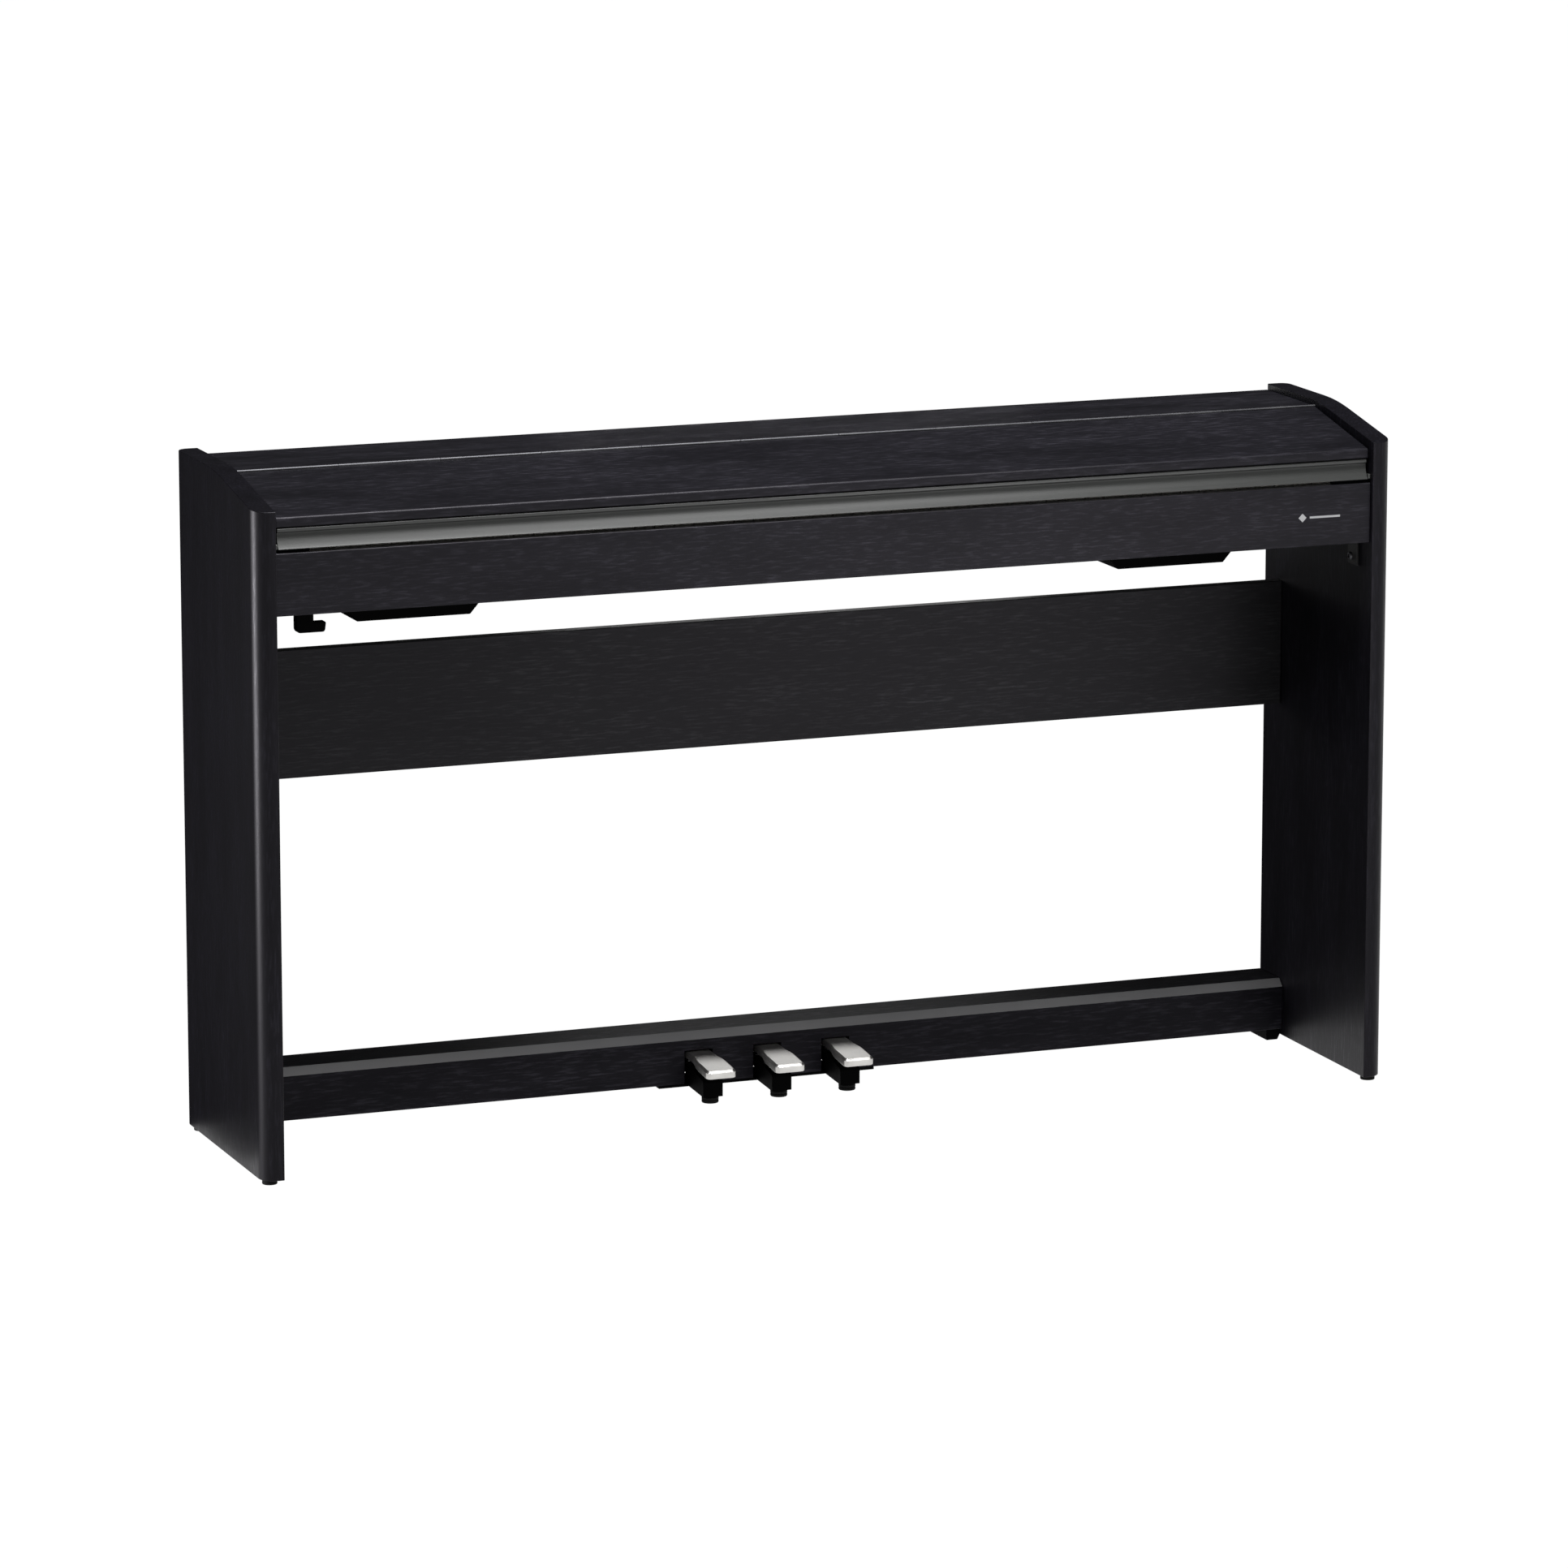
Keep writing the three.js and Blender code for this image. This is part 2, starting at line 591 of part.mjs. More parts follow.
// The ledge folds flat against the lid's underside, its pivot barrel towards the hinge.
function musicLedge() {
  const pivot = ledgePivot();
  const half = LEDGE_THICKNESS / 2;
  const corners = [
    [0, half],
    [-LEDGE_REACH, half],
    [-LEDGE_REACH, -half],
    [0, -half],
  ].map(([u, v]) => new THREE.Vector2(u, v).rotateAround(new THREE.Vector2(), LID_SLOPE).add(pivot));
  const x = [-LEDGE_LENGTH / 2, LEDGE_LENGTH / 2];
  return join(prismX(corners, x), rodX(LEDGE_BARREL, pivot.x, pivot.y, x, 16));
}

function ledgePivot() {
  const y = hingeY - LEDGE_FROM_HINGE;
  return new THREE.Vector2(y, lidUnderAt(y) - LEDGE_GAP - LEDGE_BARREL);
}

add("music_ledge", musicLedge(), greyProfile);

// ---------------------------------------------------------------- control fascia

const controlZ = (fasciaZ[0] + fasciaZ[1]) / 2;
const powerButtonX = POWER_BUTTON_FROM_PANEL - INNER;
const volumeKnobX = VOLUME_KNOB_FROM_PANEL - INNER;
const toneButtonX = TONE_BUTTON_FROM_PANEL - INNER;
const fasciaY = [fasciaFront, fasciaFront + FASCIA_THICKNESS];

const buttonBlock = (x, y, grow) =>
  block(grown([x - BUTTON_SIZE[0] / 2, x + BUTTON_SIZE[0] / 2], grow), y, [
    controlZ - BUTTON_SIZE[1] / 2 - grow,
    controlZ + BUTTON_SIZE[1] / 2 + grow,
  ]);

function controlFascia() {
  const through = grown(fasciaY, 1);
  return cut(
    block(boardX, fasciaY, fasciaZ),
    buttonBlock(powerButtonX, through, BUTTON_GAP),
    buttonBlock(toneButtonX, through, BUTTON_GAP),
    rodY(KNOB_SHAFT_RADIUS + BUTTON_GAP, volumeKnobX, controlZ, through, 16),
  );
}

// A cap with a flange behind the fascia that keeps it from falling out.
function pushButton(x) {
  const behind = fasciaY[1] + FIT;
  return join(
    buttonBlock(x, [fasciaFront - BUTTON_PROUD, behind + BUTTON_TRAVEL], 0),
    buttonBlock(x, [behind, behind + BUTTON_FLANGE], 1.5),
  );
}

function volumeKnob() {
  const front = fasciaFront - BUTTON_GAP - KNOB_DEPTH;
  return join(
    rodY(KNOB_RADIUS, volumeKnobX, controlZ, [front, front + KNOB_DEPTH], 24),
    rodY(KNOB_SHAFT_RADIUS, volumeKnobX, controlZ, [front, fasciaY[1] + 5], 12),
  );
}

add("control_fascia", controlFascia(), blackPlastic);
add("power_button", pushButton(powerButtonX), blackPlastic);
add("tone_button", pushButton(toneButtonX), blackPlastic);
add("volume_knob", volumeKnob(), blackPlastic);

// ---------------------------------------------------------------- keyboard

function isSharp(note) {
  return note % 12 in SHARP_SHIFT;
}

function countWhites(from, to) {
  let count = 0;
  for (let note = from; note <= to; note++) {
    if (!isSharp(note)) count++;
  }
  return count;
}

// Left edge of the place that the white key with this number takes.
const placeOf = (whiteNumber) => -KEYBOARD_HALF + whiteNumber * KEY_PITCH;
const whiteNumberOf = (note) => countWhites(LOWEST_NOTE, note) - 1;

function sharpSpan(note) {
  const middle = placeOf(whiteNumberOf(note) + 1) + SHARP_SHIFT[note % 12];
  return [middle - SHARP_WIDTH / 2, middle + SHARP_WIDTH / 2];
}

const headSpan = (note) => {
  const left = placeOf(whiteNumberOf(note));
  return [left + KEY_GAP / 2, left + KEY_PITCH - KEY_GAP / 2];
};

// Where a white key's tail runs between the sharps beside it.
function tailSpan(note) {
  const [left, right] = headSpan(note);
  const sharpBelow = isSharp(note - 1) && note > LOWEST_NOTE;
  const sharpAbove = isSharp(note + 1) && note < HIGHEST_NOTE;
  return [
    sharpBelow ? sharpSpan(note - 1)[1] + SHARP_SIDE_GAP : left,
    sharpAbove ? sharpSpan(note + 1)[0] - SHARP_SIDE_GAP : right,
  ];
}

function whiteKey(note) {
  const [left, right] = headSpan(note);
  const [tailLeft, tailRight] = tailSpan(note);
  const notch = keyFront + WHITE_HEAD;
  const rear = fasciaFront - FIT;
  const rightNotch = tailRight < right ? [[right, notch], [tailRight, notch]] : [];
  const leftNotch = tailLeft > left ? [[tailLeft, notch], [left, notch]] : [];
  const plan = outline([
    [left, keyFront],
    [right, keyFront],
    ...rightNotch,
    [tailRight, rear],
    [tailLeft, rear],
    ...leftNotch,
  ]);
  const top = prismZ(plan, [keyUnder, keyTop]);
  const stem = block([tailLeft, tailRight], [rear - 2, stemEnd], [keyUnder, keyUnder + STEM_THICKNESS]);
  return join(top, stem);
}

function sharpKey(note) {
  const front = keyFront + WHITE_HEAD + SHARP_SIDE_GAP;
  const rear = fasciaFront - SHARP_REAR_GAP;
  const [stemUnder, stemTop] = SHARP_STEM.map((rise) => keyUnder + rise);
  const side = outline([
    [front, keyUnder + 1],
    [rear - 8, keyUnder + 1],
    [rear - 8, stemUnder],
    [stemEnd, stemUnder],
    [stemEnd, stemTop],
    [rear, stemTop],
    [rear, sharpTop],
    [front + SHARP_FRONT_SLOPE, sharpTop],
    [front, keyTop + 1],
  ]);
  return prismX(side, sharpSpan(note));
}

// Every key of one colour between two notes, joined by a bar over the pivot.
function keySection(from, to, sharps) {
  const all = Array.from({ length: to - from + 1 }, (_, i) => from + i);
  const notes = all.filter((note) => isSharp(note) === sharps);
  const spanOf = sharps ? sharpSpan : tailSpan;
  const z = sharps ? SHARP_STEM.map((rise) => keyUnder + rise) : [keyUnder, keyUnder + STEM_THICKNESS];
  const bar = block([spanOf(notes[0])[0], spanOf(notes.at(-1))[1]], [webFront, stemEnd], z);
  return join(bar, ...notes.map(sharps ? sharpKey : whiteKey));
}

const OCTAVE = "c c_sharp d d_sharp e f f_sharp g g_sharp a a_sharp b";
const NOTE_NAMES = OCTAVE.split(" ");
const [octaveFirst, octaveLast] = LOOSE_OCTAVE;

add("white_keys_bass", keySection(LOWEST_NOTE, octaveFirst - 1, false), keyWhite);
add("black_keys_bass", keySection(LOWEST_NOTE, octaveFirst - 1, true), keyBlack);
add("white_keys_treble", keySection(octaveLast + 1, HIGHEST_NOTE, false), keyWhite);
add("black_keys_treble", keySection(octaveLast + 1, HIGHEST_NOTE, true), keyBlack);

for (let note = octaveFirst; note <= octaveLast; note++) {
  const name = `key_${NOTE_NAMES[note % 12]}`;
  if (isSharp(note)) add(name, sharpKey(note), keyBlack);
  else add(name, whiteKey(note), keyWhite);
}

// The chassis: a plate with a front rail that stops the keys and a rear rail that they pivot on.
function keyChassis() {
  const plate = [keybedTop + FIT, keybedTop + FIT + CHASSIS_PLATE];
  const frontRail = [keyFront + 7, keyFront + 7 + CHASSIS_RAIL_WIDTH];
  const frontTop = keyUnder - KEY_DIP - FELT_ROOM;
  const rearRail = [stemEnd - CHASSIS_RAIL_WIDTH / 2, stemEnd + CHASSIS_RAIL_WIDTH / 2];
  const rearTop = keyUnder - PIVOT_ROOM;
  const section = outline([
    [frontRail[0], plate[0]],
    [rearRail[1], plate[0]],
    [rearRail[1], rearTop],
    [rearRail[0], rearTop],
    [rearRail[0], plate[1]],
    [frontRail[1], plate[1]],
    [frontRail[1], frontTop],
    [frontRail[0], frontTop],
  ]);
  return prismX(section, [-KEYBOARD_HALF, KEYBOARD_HALF]);
}

add("key_chassis", keyChassis(), blackSteel);

// ---------------------------------------------------------------- speakers under the keybed

const speakerY = [REAR - SPEAKER_FROM_REAR - SPEAKER_LENGTH, REAR - SPEAKER_FROM_REAR];
const speakerX = INNER - SPEAKER_FROM_PANEL;
const speakerTop = keybedUnder - FIT;
const speakerUnder = keybedUnder - SPEAKER_DROP;

function speakerHousing() {
  const shell = (wall, z0, z1) =>
    [
      [-SPEAKER_BOTTOM_WIDTH / 2 + wall, z0],
      [SPEAKER_BOTTOM_WIDTH / 2 - wall, z0],
      [SPEAKER_TOP_WIDTH / 2 - wall, z1],
      [-SPEAKER_TOP_WIDTH / 2 + wall, z1],
    ].map(([u, v]) => new THREE.Vector2(speakerX + u, v));
  const outside = prismY(shell(0, speakerUnder, speakerTop), speakerY);
  const room = shell(SPEAKER_WALL, speakerUnder + SPEAKER_WALL, speakerTop + 1);
  const inside = prismY(room, grown(speakerY, -SPEAKER_WALL));
  const middle = (speakerY[0] + speakerY[1]) / 2;
  const pitch = (2 * DRIVER_RADIUS - 8) / SPEAKER_SLOTS;
  const slots = Array.from({ length: SPEAKER_SLOTS }, (_, i) => {
    const y = middle + (i - (SPEAKER_SLOTS - 1) / 2) * pitch;
    return block(
      [speakerX - SPEAKER_SLOT[0] / 2, speakerX + SPEAKER_SLOT[0] / 2],
      [y - SPEAKER_SLOT[1] / 2, y + SPEAKER_SLOT[1] / 2],
      [speakerUnder - 1, speakerUnder + SPEAKER_WALL + 1],
    );
  });
  return cut(outside, inside, ...slots);
}

// A downward-facing driver: dished cone, flange, basket and magnet.
function speakerDriver() {
  const floor = speakerUnder + SPEAKER_WALL + FIT;
  const profile = [
    [0, 9],
    [10, 8],
    [DRIVER_RADIUS - 8, 1],
    [DRIVER_RADIUS - 5, 0],
    [DRIVER_RADIUS, 0],
    [DRIVER_RADIUS, 2.5],
    [DRIVER_RADIUS - 6, 3.5],
    [22, 17],
    [26, 18],
    [26, 29],
    [0, 29],
  ].map(([radius, rise]) => new THREE.Vector2(radius, rise));
  const middle = (speakerY[0] + speakerY[1]) / 2;
  return new THREE.LatheGeometry(profile, 20).rotateX(Math.PI / 2).translate(speakerX, middle, floor);
}

addPair("speaker_housing", speakerHousing(), blackPlastic);
addPair("speaker_driver", speakerDriver(), coneBlack);

// ---------------------------------------------------------------- headphone hook and brackets

function headphoneHook() {
  const left = HOOK_FROM_PANEL - INNER - HOOK_POST / 2;
  const right = left + HOOK_POST;
  const top = keybedUnder - FIT;
  const under = keybedUnder - HOOK_DROP;
  const side = outline([
    [left, top],
    [left, under, 5],
    [right + HOOK_REACH - 1.5, under, 3],
    [right + HOOK_REACH, under + HOOK_ARM, 2],
    [right, under + HOOK_ARM],
    [right, top],
  ]);
  const y = FRONT + HOOK_FROM_FRONT;
  return prismY(side, [y - HOOK_THICKNESS / 2, y + HOOK_THICKNESS / 2]);
}

add("headphone_hook", headphoneHook(), blackPlastic);

// Angle bracket: one leg on the side panel, the other under the keybed.
function keybedBracket() {
  const wall = BOARD_HALF;
  const top = keybedUnder - FIT;
  const section = [
    [wall, top],
    [wall, top - BRACKET_HEIGHT],
    [wall - BRACKET_THICKNESS, top - BRACKET_HEIGHT],
    [wall - BRACKET_THICKNESS, top - BRACKET_THICKNESS],
    [wall - BRACKET_LEG, top - BRACKET_THICKNESS],
    [wall - BRACKET_LEG, top],
  ];
  const y = FRONT + BRACKET_FROM_FRONT;
  return prismY(outline(section), [y, y + BRACKET_WIDTH]);
}

addPair("keybed_bracket", keybedBracket(), blackSteel);

// ---------------------------------------------------------------- pedal rail

// A channel, open underneath, with a bevelled upper front edge and a notch for each pedal.
function pedalRail() {
  const cavity = {
    y: [railFront + RAIL_WALL, REAR - RAIL_WALL],
    z: railTop - RAIL_WALL,
  };
  const section = outline([
    [railFront, RAIL_BOTTOM],
    [cavity.y[0], RAIL_BOTTOM],
    [cavity.y[0], cavity.z],
    [cavity.y[1], cavity.z],
    [cavity.y[1], RAIL_BOTTOM],
    [REAR, RAIL_BOTTOM],
    [REAR, railTop],
    [railFront + RAIL_BEVEL[0], railTop],
    [railFront, railTop - RAIL_BEVEL[1]],
  ]);
  const notchHalf = PEDAL_NECK_WIDTH / 2 + NOTCH_SIDE_GAP;
  const notchY = [railFront - 1, cavity.y[0] + 1];
  const notches = pedalXs.map((x) =>
    block([x - notchHalf, x + notchHalf], notchY, [RAIL_BOTTOM - 1, notchTop]),
  );
  return cut(prismX(section, boardX), ...notches);
}

add("pedal_rail", pedalRail(), woodFoil);

// The block that carries the end of the rail, chamfered beside the panel.
function endBlock() {
  const [width, length, chamfer, recess] = END_BLOCK;
  const section = outline([
    [BOARD_HALF - width, 0],
    [BOARD_HALF - chamfer, 0],
    [BOARD_HALF, 2 * chamfer],
    [BOARD_HALF, RAIL_BOTTOM - FIT],
    [BOARD_HALF - width, RAIL_BOTTOM - FIT],
  ]);
  return prismY(section, [railFront + recess, railFront + recess + length]);
}

addPair("rail_end_block", endBlock(), blackPlastic);

// ---------------------------------------------------------------- pedals

const plateTop = RAIL_BOTTOM - FIT;
const plateUnder = plateTop - BASE_PLATE_THICKNESS;
const springY = axleY - SPRING_FROM_AXLE;

// Base plate, one arm with a round foot under each pedal, and the ears that hold the axle.
function pedalChassis() {
  const half = 1.5 * PEDAL_SPACING + EAR_THICKNESS / 2 + BASE_PLATE_OVERHANG;
  const armTip = railFront - ARM_LENGTH;
  const armRoot = railFront + RAIL_WALL;
  const pieces = [block([-half, half], [railFront + 0.5, REAR - RAIL_WALL - FIT], [plateUnder, plateTop])];
  const armSide = outline([
    [armTip, ARM_TIP_BOTTOM],
    [railFront, plateUnder],
    [armRoot, plateUnder],
    [armRoot, ARM_ROOT_TOP],
    [railFront, ARM_ROOT_TOP],
    [armTip, ARM_TIP_TOP, 4],
  ]);
  for (const x of pedalXs) {
    pieces.push(prismX(armSide, [x - ARM_WIDTH / 2, x + ARM_WIDTH / 2]));
    pieces.push(rodZ(ARM_FOOT_RADIUS, x, armTip + ARM_FOOT_FROM_TIP, [0, ARM_TIP_BOTTOM + 4], 20));
  }
  const earY = [axleY - 7, axleY + 7];
  const earXs = [-1.5, -0.5, 0.5, 1.5].map((step) => step * PEDAL_SPACING);
  for (const x of earXs) {
    pieces.push(block([x - EAR_THICKNESS / 2, x + EAR_THICKNESS / 2], earY, [plateUnder, PEDAL_AXLE_Z + 7]));
  }
  const bore = rodX(PEDAL_AXLE_RADIUS + FIT, axleY, PEDAL_AXLE_Z, [-half, half], 16);
  return cut(join(...pieces), bore);
}

add("pedal_chassis", pedalChassis(), blackPlastic);

const axleHalf = 1.5 * PEDAL_SPACING + EAR_THICKNESS;
add("pedal_axle", rodX(PEDAL_AXLE_RADIUS, axleY, PEDAL_AXLE_Z, [-axleHalf, axleHalf], 16), steel);

// A pedal: its side view and its plan, one through the other, bored for the axle.
function pedal(x) {
  const toeY = axleY - PEDAL_LENGTH;
  const neckTop = PEDAL_AXLE_Z + PEDAL_RISE;
  const toeTop = neckTop - PEDAL_FALL;
  const tail = axleY + PEDAL_HUB;
  const side = outline([
    [toeY, toeTop, 3],
    [toeY, toeTop - TOE_THICKNESS, 2.5],
    [toeY + TOE_LENGTH, toeTop - TOE_THICKNESS + 1],
    [railFront, neckTop - PEDAL_THICKNESS],
    [axleY - PEDAL_HUB - 4, neckTop - PEDAL_THICKNESS],
    [axleY - PEDAL_HUB, PEDAL_AXLE_Z - PEDAL_HUB],
    [tail, PEDAL_AXLE_Z - PEDAL_HUB],
    [tail, neckTop, 3],
    [railFront, neckTop],
  ]);
  const neck = PEDAL_NECK_WIDTH / 2;
  const toe = PEDAL_TOE_WIDTH / 2;
  const widening = [0, 0.25, 0.5, 0.75, 1].map((t) => {
    const ease = t * t * (3 - 2 * t);
    return [neck + (toe - neck) * ease, toeY + WIDENING[1] + (WIDENING[0] - WIDENING[1]) * (1 - t)];
  });
  const plan = outline([
    [x - neck, tail],
    ...widening.map(([w, y]) => [x - w, y]),
    [x - toe, toeY, TOE_RADIUS],
    [x + toe, toeY, TOE_RADIUS],
    ...widening.reverse().map(([w, y]) => [x + w, y]),
    [x + neck, tail],
  ]);
  const width = [x - toe, x + toe];
  const body = common(prismX(side, grown(width, 1)), prismZ(plan, [0, neckTop + 10]));
  return cut(body, rodX(PEDAL_AXLE_RADIUS + FIT, axleY, PEDAL_AXLE_Z, grown(width, 2), 16));
}

class Helix extends THREE.Curve {
  constructor(radius, height, turns) {
    super();
    Object.assign(this, { radius, height, turns });
  }
  getPoint(t, target = new THREE.Vector3()) {
    const angle = 2 * Math.PI * this.turns * t;
    return target.set(this.radius * Math.cos(angle), this.radius * Math.sin(angle), this.height * t);
  }
}

// A coil spring between the base plate and the pedal's underside.
function pedalSpring(x) {
  const under = plateTop + SPRING_WIRE + FIT;
  const pedalUnder = PEDAL_AXLE_Z + PEDAL_RISE - PEDAL_THICKNESS;
  const height = pedalUnder - FIT - SPRING_WIRE - under;
  const path = new Helix(SPRING_RADIUS, height, SPRING_TURNS);
  const wire = new THREE.EllipseCurve(0, 0, SPRING_WIRE, SPRING_WIRE).getPoints(6).slice(0, -1);
  const along = { steps: SPRING_TURNS * 10, extrudePath: path, bevelEnabled: false };
  return new THREE.ExtrudeGeometry(new THREE.Shape(wire), along).translate(x, springY, under);
}

["soft", "sostenuto", "damper"].forEach((name, i) => {
  add(`${name}_pedal`, pedal(pedalXs[i]), nickel);
  add(`${name}_pedal_spring`, pedalSpring(pedalXs[i]), steel);
});

export default piano;
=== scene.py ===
# %% [markdown]
# # A digital piano on its stand
#
# This lesson dresses a compact home piano: a keyboard cabinet between two tall side panels, a brace
# board behind the player's knees, and a rail with three pedals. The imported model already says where
# every part is and how it moves. Here each part gets its fine shape and its finish, and rides on the
# body that carries it.

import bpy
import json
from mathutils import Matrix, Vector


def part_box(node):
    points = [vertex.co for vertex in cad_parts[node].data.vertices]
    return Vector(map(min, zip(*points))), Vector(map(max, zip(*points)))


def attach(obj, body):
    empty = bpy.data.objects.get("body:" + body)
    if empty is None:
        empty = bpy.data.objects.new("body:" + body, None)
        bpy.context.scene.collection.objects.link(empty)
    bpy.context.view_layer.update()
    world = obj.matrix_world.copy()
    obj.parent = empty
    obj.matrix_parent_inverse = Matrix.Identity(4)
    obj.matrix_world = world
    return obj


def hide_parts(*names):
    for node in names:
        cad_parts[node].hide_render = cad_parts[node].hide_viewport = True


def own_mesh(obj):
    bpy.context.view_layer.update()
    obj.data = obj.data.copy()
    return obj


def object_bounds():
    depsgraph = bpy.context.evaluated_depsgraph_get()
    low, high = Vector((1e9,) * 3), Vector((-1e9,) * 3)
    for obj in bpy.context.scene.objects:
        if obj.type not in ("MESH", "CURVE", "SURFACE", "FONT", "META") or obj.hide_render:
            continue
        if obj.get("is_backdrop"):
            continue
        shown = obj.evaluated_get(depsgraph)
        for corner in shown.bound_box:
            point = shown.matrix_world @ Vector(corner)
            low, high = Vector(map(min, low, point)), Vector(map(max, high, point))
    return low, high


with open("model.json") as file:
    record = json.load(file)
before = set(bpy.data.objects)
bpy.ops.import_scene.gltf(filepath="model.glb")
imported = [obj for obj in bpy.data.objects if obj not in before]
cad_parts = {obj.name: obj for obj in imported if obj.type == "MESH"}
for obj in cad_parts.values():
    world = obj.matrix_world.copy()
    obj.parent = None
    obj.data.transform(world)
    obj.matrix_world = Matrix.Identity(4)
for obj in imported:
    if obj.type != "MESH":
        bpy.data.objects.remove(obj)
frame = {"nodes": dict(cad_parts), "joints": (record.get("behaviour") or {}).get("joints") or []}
packed_box = [list(corner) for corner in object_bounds()]
print("packed box", packed_box)

# %% [markdown]
# ## Modules and units
#
# Blender works in metres. A furniture maker thinks in millimetres, so one named value turns one into the
# other.

# %% Modules and units
import json
from math import cos, pi, radians, sin, tan

import bmesh
import bpy
from mathutils import Vector

MM = 0.001
scene = bpy.context.scene
joints = {joint["name"]: joint for joint in frame["joints"]}

# %% [markdown]
# ## Camera
#
# The piano is seen from the bass end, a little from above, through a long lens a good eight metres away.
# A long lens keeps the boards' edges nearly parallel, as a catalogue picture does. Turning the camera
# about Z and then tipping it down is enough, so no tracking constraint is needed.

# %% Camera
STANDPOINT = (-3.090, -7.969, 2.142)
TURN, TIP = -0.3688, -0.2039
camera_lens = bpy.data.cameras.new("studio_camera")
camera_lens.sensor_width = 36.0
camera_lens.lens = 176.2
camera = bpy.data.objects.new("studio_camera", camera_lens)
camera.location = STANDPOINT
camera.rotation_euler = (pi / 2 + TIP, 0, TURN)
scene.collection.objects.link(camera)
scene.camera = camera
print("camera stands", round(camera.location.length, 2), "m from the piano's foot")

# %% [markdown]
# ## Writing shaders as sums
#
# A node tree is a formula drawn as boxes. It reads better as a formula in text, so `Wire` wraps one
# output socket and lets Python's operators add the Math nodes. `Recipe.node` makes every other node from
# its type, its settings and what goes into its sockets. Sockets are named by identifier, because a Mix
# node has several inputs that carry the same name.


# %% Wires and recipes
class Wire:
    """One output socket, ready for arithmetic."""

    def __init__(self, recipe, socket):
        self.recipe = recipe
        self.socket = socket

    def maths(self, operation, first, second):
        values = {"Value": first, "Value_001": second}
        return self.recipe.node("ShaderNodeMath", {"operation": operation}, values)["Value"]

    def __add__(self, other):
        return self.maths("ADD", self, other)

    def __sub__(self, other):
        return self.maths("SUBTRACT", self, other)

    def __rsub__(self, other):
        return self.maths("SUBTRACT", other, self)

    def __mul__(self, other):
        return self.maths("MULTIPLY", self, other)

    __radd__ = __add__
    __rmul__ = __mul__


class Recipe:
    """A node tree that is written down step by step."""

    def __init__(self, tree):
        self.tree = tree

    def node(self, kind, settings=None, sockets=None):
        made = self.tree.nodes.new(kind)
        for setting, value in (settings or {}).items():
            setattr(made, setting, value)
        inputs = {socket.identifier: socket for socket in made.inputs}
        for name, value in (sockets or {}).items():
            self.feed(inputs[name], value)
        return {socket.identifier: Wire(self, socket) for socket in made.outputs}

    def feed(self, socket, value):
        if isinstance(value, Wire):
            self.tree.links.new(value.socket, socket)
        else:
            socket.default_value = value


# %% [markdown]
# ## One class for every finish
#
# All finishes share a Principled shader, object coordinates and three habits: stretched noise for grain
# and scuffs, a blend of two colours by a mask, and one bump. What is the same all over a surface is set
# straight on the shader's socket. What varies is fed through nodes, and only into colour, roughness,
# metallic and normal.


# %% A finish
class Finish(Recipe):
    """A material for one slot of the record, with short words for what its recipe needs."""

    def __init__(self, slot, name, **constants):
        self.material = bpy.data.materials.new(name)
        self.material.use_nodes = True
        super().__init__(self.material.node_tree)
        self.slot = slot
        self.shader = self.tree.nodes["Principled BSDF"].inputs
        self.place = self.node("ShaderNodeTexCoord")["Object"]
        for socket, value in constants.items():
            self.shader[socket.replace("_", " ")].default_value = value

    def noise(self, per_metre, detail=4.0, roughness=0.55, shift=0.0):
        stretched = {"Vector": self.place, "Scale": per_metre, "Location": (shift, shift, shift)}
        place = self.node("ShaderNodeMapping", None, stretched)["Vector"]
        wanted = {"Vector": place, "Scale": 1.0, "Detail": detail, "Roughness": roughness}
        return self.node("ShaderNodeTexNoise", None, wanted)["Fac"]

    def between(self, wire, low, high):
        limits = {"Value": wire, "From Min": low, "From Max": high}
        return self.node("ShaderNodeMapRange", None, limits)["Result"]

    def colour(self, mask, dark, light):
        sockets = {"Factor_Float": mask, "A_Color": (*dark, 1), "B_Color": (*light, 1)}
        blend = self.node("ShaderNodeMix", {"data_type": "RGBA"}, sockets)
        self.feed(self.shader["Base Color"], blend["Result_Color"])

    def rough(self, wire):
        self.feed(self.shader["Roughness"], wire)

    def bump(self, height, depth):
        sockets = {"Height": height, "Distance": depth, "Strength": 1.0}
        self.feed(self.shader["Normal"], self.node("ShaderNodeBump", None, sockets)["Normal"])


# %% [markdown]
# ## Black wood-grain foil
#
# The boards are chipboard wrapped in a black foil that is printed and embossed with short, fine pores.
# The pores are noise that is stretched along the grain, about ten times longer than it is wide. A
# second, wider noise gathers them in bands, because no grain is even. The emboss catches the light, so
# the same mask feeds colour, roughness and bump. The lacquer over the print reflects little and slightly
# blue.


# %% Foil
INK_BLACK = (0.0027, 0.0026, 0.0036)
PORE_GREY = (0.0240, 0.0228, 0.0290)
PORES = (430.0, 46.0)
BANDS = (26.0, 5.0)
HAIRS = (1700.0, 210.0)


